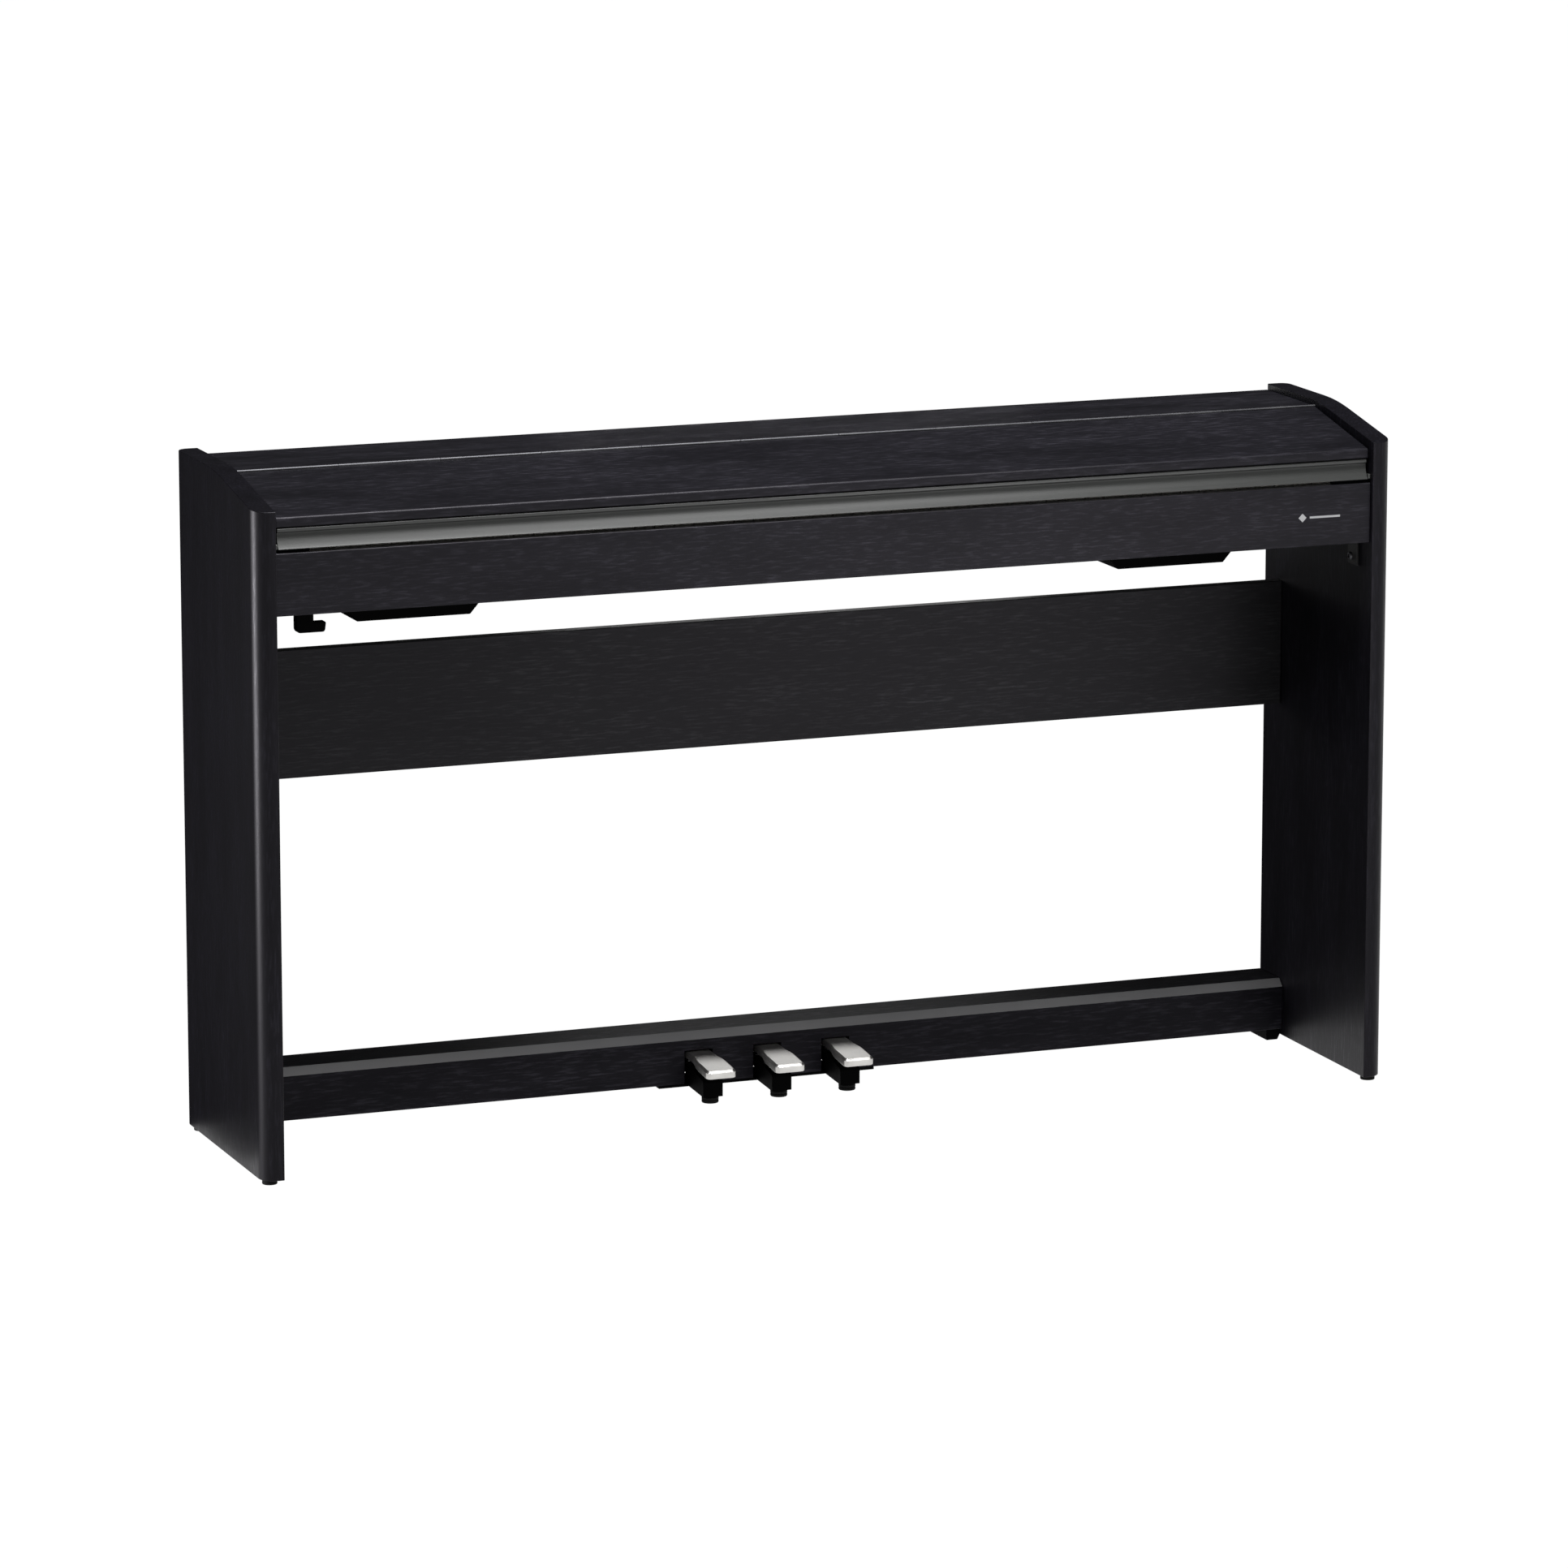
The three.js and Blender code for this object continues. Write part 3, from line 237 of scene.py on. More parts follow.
def foil(name, axis, dark=INK_BLACK, light=PORE_GREY, emboss=0.00011, level=0.16):
    """Grain runs along axis 0, 1 or 2. PORES, BANDS and HAIRS are per metre, across and along the grain."""

    def stretched(scale):
        across, along = scale
        return [along if i == axis else across for i in range(3)]

    lacquer = {"Specular_IOR_Level": level, "Specular_Tint": (0.94, 0.90, 1.0, 1)}
    made = Finish("wood_foil", name, **lacquer)
    pores = made.between(made.noise(stretched(PORES), detail=3.0, roughness=0.6), 0.50, 0.72)
    bands = made.between(made.noise(stretched(BANDS), detail=3.0, shift=4.7), 0.34, 0.66)
    hairs = made.noise(stretched(HAIRS), detail=2.0, shift=9.1)
    streaks = pores * (bands * 0.65 + 0.35)
    made.colour(streaks * 0.75 + bands * 0.14, dark, light)
    made.rough(0.39 - streaks * 0.14 + hairs * 0.06)
    made.bump(streaks * 0.8 + hairs * 0.25, emboss)
    return made


# The side panels get a darker copy of the same foil: painted shade, which keeps their broad faces dark
# under the lamp at the left.
UPRIGHT_INK_PAINTED_DARKER, UPRIGHT_PORE_PAINTED_DARKER = (0.0012, 0.0011, 0.0018), (0.0105, 0.0099, 0.0140)
BRACE_INK, BRACE_PORE = (0.0036, 0.0037, 0.0039), (0.0200, 0.0203, 0.0214)
foil_across = foil("black_foil_grain_along_the_keyboard", 0)
foil_upright_with_painted_shade = foil("black_foil_grain_upright_with_painted_shade", 2, UPRIGHT_INK_PAINTED_DARKER, UPRIGHT_PORE_PAINTED_DARKER, emboss=0.00006)
foil_deep = foil("black_foil_grain_front_to_back", 1)
brace_foil = foil("black_foil_of_the_brace", 0, BRACE_INK, BRACE_PORE)
rail_foil = foil("black_foil_of_the_rail", 0, level=0.07)
print("five foils")

# %% [markdown]
# ## Moulded plastics and rubber
#
# Housings, the pedal base and the hook are black plastic from tools with a fine eroded texture. A dense
# noise gives that texture as bump, and a slow one makes the sheen wander, as it does where hands and
# cloths have been.


# %% Plastics and rubber
def moulded(slot, name, dark, light, sheen, texture=0.00003, level=0.35):
    made = Finish(slot, name, Specular_IOR_Level=level)
    slow = made.between(made.noise((9.0, 9.0, 9.0), detail=3.0), 0.35, 0.65)
    grit = made.noise((2600.0, 2600.0, 2600.0), detail=2.0, shift=2.2)
    made.colour(slow * 0.6 + grit * 0.4, dark, light)
    made.rough(slow * 0.10 + grit * 0.06 + sheen)
    made.bump(grit, texture)
    return made


def grey(shade, blue=1.0):
    return (shade, shade, shade * blue)


RED_FELT = (0.085, 0.006, 0.008), (0.170, 0.014, 0.016)
GREEN_FELT = (0.010, 0.045, 0.022), (0.020, 0.085, 0.040)
CHIPBOARD = (0.010, 0.009, 0.008), (0.030, 0.027, 0.024)
BLACK_PLASTIC = (0.0003, 0.0003, 0.0004), (0.0009, 0.0009, 0.0010)
black_plastic = moulded("black_plastic", "black_textured_plastic", *BLACK_PLASTIC, 0.50, level=0.02)
rubber = moulded("rubber", "black_rubber", grey(0.002), grey(0.006), 0.68, 0.00006, level=0.12)
cone_paper = moulded("speaker_cone", "black_cone_paper", grey(0.006), grey(0.020, 1.05), 0.62, 0.00012)
board_core = moulded("keybed_board", "dark_faced_chipboard", *CHIPBOARD, 0.58, 0.0001)
steel_black = moulded("black_steel", "black_powder_coat", grey(0.002), grey(0.006), 0.42, 0.00007)
felt_red = moulded("rubber", "red_felt", *RED_FELT, 0.82, 0.00025, level=0.1)
felt_green = moulded("rubber", "green_felt", *GREEN_FELT, 0.82, 0.00025, level=0.1)
print("plastics, rubber, board and felt")

# %% [markdown]
# ## Grey lid profile
#
# The lid's handle and the folding ledge are a long extruded profile in satin anthracite. Extrusion
# leaves faint lines along the length, which is one stretched noise again, much finer than wood.

# %% Grey profile
grey_profile = Finish("grey_profile", "satin_anthracite_profile", Specular_IOR_Level=0.55)
profile_lines = grey_profile.noise((3.0, 1500.0, 1500.0), detail=2.0)
profile_cloud = grey_profile.between(grey_profile.noise((5.0, 40.0, 40.0), shift=3.0), 0.3, 0.7)
grey_profile.colour(profile_lines * 0.5 + profile_cloud * 0.5, (0.012, 0.013, 0.012), (0.019, 0.020, 0.019))
grey_profile.rough(profile_lines * 0.08 + 0.30)
grey_profile.bump(profile_lines, 0.00002)
print("grey profile")

# %% [markdown]
# ## Metals
#
# The pedals are nickel-plated brass, brushed along their length before plating, so the brush lines stay
# just visible on the broad face. Screws, springs and the hinge are zinc-plated steel. A metal's colour
# is its reflection, so both only need a metallic shader, fine lines in roughness and bump, and a few
# cloudy patches.


# %% Metals
def plated(slot, name, dark, light, sheen, lines_per_metre, depth):
    made = Finish(slot, name, Metallic=1.0)
    lines = made.noise(lines_per_metre, detail=3.0, roughness=0.6)
    cloud = made.between(made.noise((34.0, 34.0, 34.0), detail=4.0, shift=6.0), 0.35, 0.70)
    made.colour(lines * 0.35 + cloud * 0.65, dark, light)
    made.rough(lines * 0.10 + cloud * 0.07 + sheen)
    made.bump(lines, depth)
    return made


NICKEL = (0.50, 0.49, 0.47), (0.70, 0.69, 0.67)
ZINC = (0.30, 0.30, 0.31), (0.50, 0.50, 0.51)
DULL_STEEL = (0.05, 0.05, 0.055), (0.09, 0.09, 0.095)
nickel = plated("nickel", "brushed_nickel_plate", *NICKEL, 0.27, (1400.0, 45.0, 1400.0), 0.000012)
zinc = plated("steel", "zinc_plated_steel", *ZINC, 0.30, (900.0, 900.0, 900.0), 0.00001)
hinge_steel = plated("steel", "dull_hinge_steel", *DULL_STEEL, 0.42, (8.0, 1600.0, 1600.0), 0.00001)
print("metals")

# %% [markdown]
# ## Key plastics and the circuit board
#
# White keys are a warm, faintly mottled plastic with a fine moisture-absorbing texture. Sharps are matte
# black with grain lines. The circuit board is green lacquer over copper tracks: a Voronoi pattern
# measured the city-block way turns corners at right angles, as tracks do.

# %% Keys and circuit board
white_key = Finish("white_key", "ivory_white_key", Specular_IOR_Level=0.5)
mottle = white_key.noise((60.0, 60.0, 60.0), detail=3.0)
tooth = white_key.noise((2400.0, 700.0, 2400.0), detail=2.0, shift=1.3)
white_key.colour(mottle, (0.74, 0.715, 0.655), (0.82, 0.80, 0.745))
white_key.rough(tooth * 0.12 + 0.24)
white_key.bump(tooth, 0.000018)

black_key = Finish("black_key", "matte_black_key", Specular_IOR_Level=0.4)
sharp_grain = black_key.noise((1500.0, 90.0, 1500.0), detail=3.0)
black_key.colour(sharp_grain, (0.006, 0.006, 0.0065), (0.017, 0.017, 0.018))
black_key.rough(sharp_grain * 0.14 + 0.36)
black_key.bump(sharp_grain, 0.00003)

circuit = Finish("circuit_board", "green_circuit_board", Specular_IOR_Level=0.5)
tracks = {"Vector": circuit.place, "Scale": 210.0}
cells = circuit.node("ShaderNodeTexVoronoi", {"distance": "MANHATTAN", "feature": "F1"}, tracks)["Distance"]
copper = circuit.between(cells, 0.30, 0.36)
circuit.colour(copper, (0.010, 0.085, 0.032), (0.030, 0.170, 0.070))
circuit.rough(copper * 0.10 + 0.28)
circuit.bump(copper, 0.00004)
print("keys and circuit board")

# %% [markdown]
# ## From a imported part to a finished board
#
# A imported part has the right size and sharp, faceted edges. No real edge is that sharp: foil is folded
# round a small radius, and plastic is moulded with one. So `packed` takes a clean copy of a part's mesh,
# and `piece` rounds its edges with a Bevel modifier. A Weighted Normal modifier then keeps the broad
# faces flat, which Bevel's own hardening can't do on the stepped arcs. Both are applied, so that the
# mesh itself is the result.


# %% Copying and finishing a mesh
def packed(*nodes):
    """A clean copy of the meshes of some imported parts: corners merged and flat faces whole."""
    made = bmesh.new()
    for node in nodes:
        made.from_mesh(frame["nodes"][node].data)
    bmesh.ops.remove_doubles(made, verts=made.verts[:], dist=0.002 * MM)
    bmesh.ops.dissolve_limit(made, angle_limit=radians(0.4), verts=made.verts[:], edges=made.edges[:])
    return made


def piece(name, made, body, finish, edge=0.0, replaces=(), crease=30.0, segments=3):
    """Turns a bmesh into a shown piece. edge is the radius that its hard edges are rounded to."""
    mesh = bpy.data.meshes.new(name)
    bmesh.ops.recalc_face_normals(made, faces=made.faces[:])
    made.to_mesh(mesh)
    made.free()
    shown = bpy.data.objects.new(name, mesh)
    scene.collection.objects.link(shown)
    mesh.materials.append(finish.material)
    mesh.shade_smooth()
    if edge:
        bevel = shown.modifiers.new("edge", "BEVEL")
        bevel.width = edge
        bevel.segments = segments
        bevel.limit_method = "ANGLE"
        bevel.angle_limit = radians(crease)
        bevel.use_clamp_overlap = True
    else:
        mesh.set_sharp_from_angle(angle=radians(crease))
    weighted = shown.modifiers.new("flat_faces", "WEIGHTED_NORMAL")
    weighted.keep_sharp = not edge
    graph = bpy.context.evaluated_depsgraph_get()
    shown.data = bpy.data.meshes.new_from_object(shown.evaluated_get(graph))
    shown.data.name = name
    shown.modifiers.clear()
    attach(shown, body)
    if replaces:
        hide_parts(*replaces)
    return shown


def finish_part(node, body, finish, edge=0.4 * MM, **options):
    """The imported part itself, with rounded edges and a finish."""
    return piece("finished_" + node, packed(node), body, finish, edge, replaces=[node], **options)


print("helpers for packed parts")

# %% [markdown]
# ## Cabinet boards
#
# The furniture is plain: every board is a chipboard panel in foil. The foil runs the long way on each
# board, so the panels' grain is upright, and the end blocks beside the keys have theirs from front to
# back. The edges are rounded by just under a millimetre, and the lid's by twice that, which makes the
# thin light lines along them.

# %% Boards
BOARD_EDGE = 0.8 * MM
LID_EDGE = 1.6 * MM
BOARDS = {
    "side_panel_left": foil_upright_with_painted_shade,
    "side_panel_right": foil_upright_with_painted_shade,
    "top_board": foil_across,
    "key_slip": foil_across,
    "back_panel": foil_across,
    "pedal_rail": rail_foil,
    "rear_brace": brace_foil,
    "cheek_block_left": foil_deep,
    "cheek_block_right": foil_deep,
    "keybed": board_core,
}
for node, finish in BOARDS.items():
    finish_part(node, "cabinet", finish, BOARD_EDGE)
finish_part("lid", "lid", foil_across, LID_EDGE)
print(len(BOARDS) + 1, "boards")

# %% [markdown]
# ## Painted highlight on the pedal rail's bevel
#
# The rail's front bevel shows no wood grain. A strip a tenth of a millimetre thick covers it, and its light
# grey is a painted highlight that stands in for the light the bevel catches. Its section follows the
# imported bevel, so we read the bevel's two edges from the mesh: the highest points of the front face, and
# the foremost points of the top face.

# %% Painted highlight on the rail bevel
HIGHLIGHT_STRIP_THICK = 0.12 * MM
HIGHLIGHT_STRIP_SHORT = 0.3 * MM
rail_low, rail_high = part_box("pedal_rail")
rail_points = [v.co for v in frame["nodes"]["pedal_rail"].data.vertices]
bevel_foot = max(p.z for p in rail_points if abs(p.y - rail_low.y) < 0.01 * MM)
bevel_head = min(p.y for p in rail_points if abs(p.z - rail_high.z) < 0.01 * MM)
foot = Vector((0, rail_low.y, bevel_foot))
head = Vector((0, bevel_head, rail_high.z))
outward = Vector((0, foot.z - head.z, foot.y - head.y)).normalized() * -HIGHLIGHT_STRIP_THICK
highlight_strip_section = [foot, head, head + outward, foot + outward]
highlight_strip_mesh = bmesh.new()
highlight_strip_ends = [sign * (rail_high.x - HIGHLIGHT_STRIP_SHORT) for sign in (-1, 1)]
loops = [[highlight_strip_mesh.verts.new((x, p.y, p.z)) for p in highlight_strip_section] for x in highlight_strip_ends]
for i in range(4):
    after = (i + 1) % 4
    highlight_strip_mesh.faces.new((loops[0][i], loops[0][after], loops[1][after], loops[1][i]))
highlight_strip_mesh.faces.new(loops[0])
highlight_strip_mesh.faces.new(loops[1][::-1])
# The light grey below is a painted highlight: it stands in for the light that the rail's bevel catches.
PAINTED_BEVEL_HIGHLIGHT_GREY = (0.112, 0.112, 0.115), (0.140, 0.140, 0.143)
bevel_highlight_finish = moulded("grey_profile", "painted_highlight_on_rail_bevel", *PAINTED_BEVEL_HIGHLIGHT_GREY, 0.36, level=0.35)
piece("rail_bevel_highlight_strip", highlight_strip_mesh, "cabinet", bevel_highlight_finish)
print("painted bevel highlight strip", round((head - foot).length / MM, 1), "mm wide")

# %% [markdown]
# ## Lid furniture
#
# Under the lid's nose sits the grey handle profile: a bead on top and a hollow face for the fingertips.
# A continuous hinge joins the lid to the top board, and the music ledge folds out of the lid's
# underside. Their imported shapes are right, so they only get rounded edges.

# %% Handle, hinge and ledge
finish_part("lid_handle", "lid", grey_profile, 0.35 * MM)
finish_part("lid_hinge_front_leaf", "lid", hinge_steel, 0.15 * MM)
finish_part("lid_hinge_rear_leaf", "cabinet", hinge_steel, 0.15 * MM)
finish_part("lid_hinge_pin", "cabinet", hinge_steel, 0.2 * MM)
finish_part("music_ledge", "music_ledge", grey_profile, 0.4 * MM)
print("handle, hinge and ledge")

# %% [markdown]
# ## Plastic and steel parts
#
# Housings, brackets, the hook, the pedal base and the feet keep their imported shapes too. Mouldings have
# larger radii than boards, so each one has its own.

# %% Mouldings and brackets
MOULDINGS = {
    "control_fascia": (black_plastic, 0.4),
    "connector_panel": (black_plastic, 0.3),
    "key_chassis": (black_plastic, 0.5),
    "main_board": (circuit, 0.15),
    "speaker_housing_*": (black_plastic, 0.8),
    "headphone_hook": (black_plastic, 1.4),
    "keybed_bracket_*": (steel_black, 0.4),
    "rail_end_block_*": (black_plastic, 0.8),
    "pedal_chassis": (black_plastic, 0.6),
    "pedal_axle": (zinc, 0.3),
    "foot_front_*": (rubber, 0.8),
    "foot_rear_*": (rubber, 0.8),
}
for pattern, (finish, edge) in MOULDINGS.items():
    for node in sorted({pattern.replace("*", side) for side in ("left", "right")}):
        finish_part(node, "cabinet", finish, edge * MM)
print(len(MOULDINGS), "kinds of mouldings and steel parts")

# %% [markdown]
# ## Skins through rings
#
# Keys, pedals, springs and screw heads are all closed skins through a row of rings, as a boatbuilder
# planks a hull over frames. `loft` does the planking. It needs only that every ring has the same number
# of points, so a ring may be a circle, a hexagon or the outline of a key.


# %% Loft and turned shapes
def loft(rings, made=None):
    made = made or bmesh.new()
    loops = [[made.verts.new(point) for point in ring] for ring in rings]
    for near, far in zip(loops, loops[1:]):
        for i in range(len(near)):
            after = (i + 1) % len(near)
            made.faces.new((near[i], near[after], far[after], far[i]))
    made.faces.new(loops[0][::-1])
    made.faces.new(loops[-1])
    return made


def slab(low, high, made=None):
    """A block between two corners, as the plainest loft."""
    corners = ((low[0], low[1]), (high[0], low[1]), (high[0], high[1]), (low[0], high[1]))
    return loft([[(x, y, z) for x, y in corners] for z in (low[2], high[2])], made)


def turned(profile, place, aim, made=None, sides=32, shape=None):
    """Rings of (radius, height) round a line that starts at place and points along aim.
    shape(angle, ring number) scales a ring's radius, for flutes and sockets."""
    turn = Vector((0, 0, 1)).rotation_difference(Vector(aim))
    rings = []
    for number, (radius, height) in enumerate(profile):
        ring = []
        for step in range(sides):
            angle = 2 * pi * step / sides
            reach = radius * (shape(angle, number) if shape else 1)
            ring.append(Vector(place) + turn @ Vector((reach * cos(angle), reach * sin(angle), height)))
        rings.append(ring)
    return loft(rings, made)


print("loft, slab and turned shapes")

# %% [markdown]
# ## Eighty-eight keys
#
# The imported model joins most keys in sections, because a part holds a limited number of solids. Here
# every key is its own moulding again. Each octave repeats the measures of the middle one, so a key's
# place is that of its namesake in the middle octave, moved by seven white keys for each octave.

# %% Where a key is
NAMES = ["c", "c_sharp", "d", "d_sharp", "e", "f", "f_sharp", "g", "g_sharp", "a", "a_sharp", "b"]
LOWEST, HIGHEST = 21, 108
MIDDLE = range(60, 72)
SIDE_GAP = 0.9 * MM
key_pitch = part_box("key_d")[0].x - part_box("key_c")[0].x
fascia_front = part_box("control_fascia")[0].y


def key_box(note):
    shift = Vector((7 * key_pitch * (note // 12 - MIDDLE.start // 12), 0, 0))
    low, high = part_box("key_" + NAMES[note % 12])
    return low + shift, high + shift


def is_sharp(note):
    return "sharp" in NAMES[note % 12]


print("one white key every", round(key_pitch / MM, 2), "mm")

# %% [markdown]
# ## A white key
#
# Seen from above, a white key has a wide head and a tail that makes room for the sharps. Seen from the
# side, its top overhangs the front by a fraction of a millimetre, and a low stem runs back under the
# fascia to the pivot. The head and tail are a loft of four copies of the plan, and the stem is a second
# shell in it.


# %% White keys
LIP_DEPTH = 4.0 * MM
LIP_OVERHANG = 0.8 * MM
STEM_HEIGHT = 8.5 * MM
notch_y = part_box("key_c_sharp")[0].y - SIDE_GAP
tail_end = fascia_front - 0.6 * MM


def white_plan(note):
    low, high = key_box(note)
    left, right = low.x, high.x
    tail_left, tail_right = left, right
    if note > LOWEST and is_sharp(note - 1):
        tail_left = key_box(note - 1)[1].x + SIDE_GAP
    if note < HIGHEST and is_sharp(note + 1):
        tail_right = key_box(note + 1)[0].x - SIDE_GAP
    plan = [(left, low.y), (right, low.y), (right, notch_y), (tail_right, notch_y)]
    plan += [(tail_right, tail_end), (tail_left, tail_end), (tail_left, notch_y), (left, notch_y)]
    kept = [point for i, point in enumerate(plan) if point != plan[i - 1]]
    return kept, tail_left, tail_right


def white_key_shape(note, made):
    low, high = key_box(note)
    plan, tail_left, tail_right = white_plan(note)
    rings = []
    lip = high.z - LIP_DEPTH
    for z, back in ((low.z, LIP_OVERHANG), (lip, LIP_OVERHANG), (lip, 0), (high.z, 0)):
        rings.append([(x, y + back if y == low.y else y, z) for x, y in plan])
    loft(rings, made)
    slab((tail_left, tail_end - 4 * MM, low.z + 0.2 * MM), (tail_right, high.y, low.z + STEM_HEIGHT), made)


print("white key plan has", len(white_plan(62)[0]), "corners between two sharps")

# %% [markdown]
# ## A sharp
#
# A sharp stands 12 mm above its neighbours. It narrows towards its top, because a moulding has to leave
# its tool, and its front leans back so that the finger slides up on to it.

# %% Sharps
SHARP_DRAFT = 0.8 * MM
SHARP_LEAN = 5 * MM
SHARP_STEM = (10 * MM, 17 * MM)
sharp_end = fascia_front - 2 * MM


def sharp_shape(note, made):
    low, high = key_box(note)
    white_low, white_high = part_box("key_c")
    shoulder = white_high.z + 1 * MM
    rings = []
    for z, draft, lean in ((low.z, 0, 0), (shoulder, 0, 0), (high.z, SHARP_DRAFT, SHARP_LEAN)):
        left, right, front = low.x + draft, high.x - draft, low.y + lean
        rings.append([(left, front, z), (right, front, z), (right, sharp_end, z), (left, sharp_end, z)])
    loft(rings, made)
    stem_low, stem_high = (white_low.z + rise for rise in SHARP_STEM)
    slab((low.x + 0.2 * MM, sharp_end - 6 * MM, stem_low), (high.x - 0.2 * MM, high.y, stem_high), made)


# %% [markdown]
# ## Keys on their bodies
#
# The twelve middle keys each ride on a body of their own. The others ride on their section's body, and
# the keys of one section share one mesh, so that the model has few pieces.


# %% All keys
WHITE_EDGE, SHARP_EDGE = 0.55 * MM, 1.1 * MM


def keyboard_piece(name, body, notes, node):
    made = bmesh.new()
    sharp = is_sharp(notes[0])
    for note in notes:
        (sharp_shape if sharp else white_key_shape)(note, made)
    finish, edge = (black_key, SHARP_EDGE) if sharp else (white_key, WHITE_EDGE)
    return piece(name, made, body, finish, edge, replaces=[node])


for note in MIDDLE:
    node = "key_" + NAMES[note % 12]
    keyboard_piece("moulded_" + node, node, [note], node)
for end, notes in (("bass", range(LOWEST, MIDDLE.start)), ("treble", range(MIDDLE.stop, HIGHEST + 1))):
    for shade, sharps in (("white", False), ("black", True)):
        body = f"{shade}_keys_{end}"
        keyboard_piece("moulded_" + body, body, [n for n in notes if is_sharp(n) == sharps], body)
print(HIGHEST - LOWEST + 1, "keys")

# %% [markdown]
# ## Felts
#
# Two felts show when the lid is open or a key is down: a red strip that closes the gap below the fascia,
# and a thicker one on the rail that stops the keys. Felt is soft, so their sections are crowned rather
# than square, and the crown swells and sinks a little along the length.


# %% Felt strips
def felt_strip(name, low, high, finish, crown, along_z):
    """A strip along X. Its free side is crowned: the top, or the front where along_z is true."""
    steps = 120
    middle = (low + high) / 2
    rings = []
    for step in range(steps + 1):
        x = low.x + (high.x - low.x) * step / steps
        swell = crown * (1 + 0.35 * sin(step * 1.9) * sin(step * 0.7))
        if along_z:
            crest = [(high.y, low.z), (low.y, low.z), (low.y - swell, middle.z), (low.y, high.z)]
            ring = crest + [(high.y, high.z)]
        else:
            crest = [(low.y, low.z), (low.y, high.z), (middle.y, high.z + swell), (high.y, high.z)]
            ring = crest + [(high.y, low.z)]
        rings.append([(x, y, z) for y, z in ring])
    piece(name, loft(rings), "cabinet", finish, 0.2 * MM)


chassis_low, chassis_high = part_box("key_chassis")
key_low, key_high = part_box("key_c")
fascia_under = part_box("control_fascia")[0].z
felt_seat = key_low.z - 11.5 * MM
felt_half = chassis_high.x - 2 * MM
felt_strip(
    "fascia_felt",
    Vector((-felt_half, fascia_front - 1.3 * MM, key_high.z + 0.8 * MM)),
    Vector((felt_half, fascia_front - 0.1 * MM, fascia_under + 1.5 * MM)),
    felt_red,
    0.12 * MM,
    along_z=True,
)
felt_strip(
    "front_rail_felt",
    Vector((-felt_half, chassis_low.y + 1 * MM, felt_seat + 0.1 * MM)),
    Vector((felt_half, chassis_low.y + 15 * MM, felt_seat + 0.9 * MM)),
    felt_green,
    0.25 * MM,
    along_z=False,
)
print("two felts")

# %% [markdown]
# ## Controls on the fascia
#
# Two square push buttons, a lamp beside the power button, and a fluted volume knob with a painted
# pointer. The knob is turned with a shape function that presses 24 shallow flutes into its rim, and its
# face is dished.

# %% Buttons, lamp and knob
for button in ("power_button", "tone_button"):
    finish_part(button, button, black_plastic, 0.5 * MM)

knob_low, knob_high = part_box("volume_knob")
knob_middle = (knob_low + knob_high) / 2
knob_radius = (knob_high.x - knob_low.x) / 2
knob_front = Vector((knob_middle.x, fascia_front - 0.3 * MM, knob_middle.z))
reach = knob_front.y - knob_low.y
FLUTES = 24
FLUTE_DEPTH = 0.035


def fluted(angle, ring):
    return 1 - FLUTE_DEPTH * (0.5 + 0.5 * cos(FLUTES * angle)) if 1 <= ring <= 3 else 1


knob_profile = [
    (knob_radius * 0.93, 0),
    (knob_radius, 0.5 * MM),
    (knob_radius * 0.985, reach * 0.5),
    (knob_radius * 0.96, reach - 0.9 * MM),
    (knob_radius * 0.86, reach),
    (knob_radius * 0.60, reach - 0.25 * MM),
    (knob_radius * 0.30, reach - 0.45 * MM),
    (knob_radius * 0.04, reach - 0.5 * MM),
]
knob = turned(knob_profile, knob_front, (0, -1, 0), sides=FLUTES * 6, shape=fluted)
knob = turned([(3 * MM, -10 * MM), (3 * MM, 0.2 * MM)], knob_front, (0, -1, 0), knob)
piece("fluted_volume_knob", knob, "volume_knob", black_plastic, replaces=["volume_knob"], crease=40)

white_print = moulded("white_key", "white_print", (0.55, 0.55, 0.54), (0.68, 0.68, 0.66), 0.5)
pointer = slab((knob_middle.x - 0.5 * MM, knob_low.y - 0.05 * MM, knob_middle.z + 2.4 * MM),
               (knob_middle.x + 0.5 * MM, knob_low.y + 0.4 * MM, knob_middle.z + knob_radius * 0.86))
piece("knob_pointer", pointer, "volume_knob", white_print, 0.1 * MM)

lamp_place = (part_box("power_button")[0].x - 6 * MM, fascia_front + 0.2 * MM, knob_middle.z)
lens = [(1.3 * MM, 0), (1.3 * MM, 0.5 * MM), (0.95 * MM, 0.9 * MM), (0.4 * MM, 1.1 * MM)]
piece("power_lamp", turned(lens, lamp_place, (0, -1, 0)), "cabinet", felt_green, crease=60)
print("buttons, lamp and knob")

# %% [markdown]
# ## Pedals
#
# A pedal is a nickel-plated casting: a narrow neck that widens to a toe with round corners, a flat
# chamfer all round its top, and a very slight crown across it. Its plan is one half outline from the
# toe's middle to the neck's end. Rings of that outline, set inwards and down in small steps, make the
# chamfer, and the two halves are joined over the top by a row of quads, so that the slope of the top
# stays smooth.

# %% Pedal measures
TOE_HALF, NECK_HALF = 18.25 * MM, 14.75 * MM
TOE_CORNER = 5.5 * MM
WIDENING = (34 * MM, 57 * MM)
TOP_FALL = 6 * MM
TOP_CURVE = 1.6
TOE_DEEP, NECK_DEEP = 9.5 * MM, 7.5 * MM
NECK_STARTS, NECK_FADE = 25 * MM, 40 * MM
CROWN = 0.35 * MM
rail_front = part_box("pedal_rail")[0].y
axle_low, axle_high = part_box("pedal_axle")
axle = (axle_low + axle_high) / 2


def eased(share):
    share = min(1, max(0, share))
    return share * share * (3 - 2 * share)


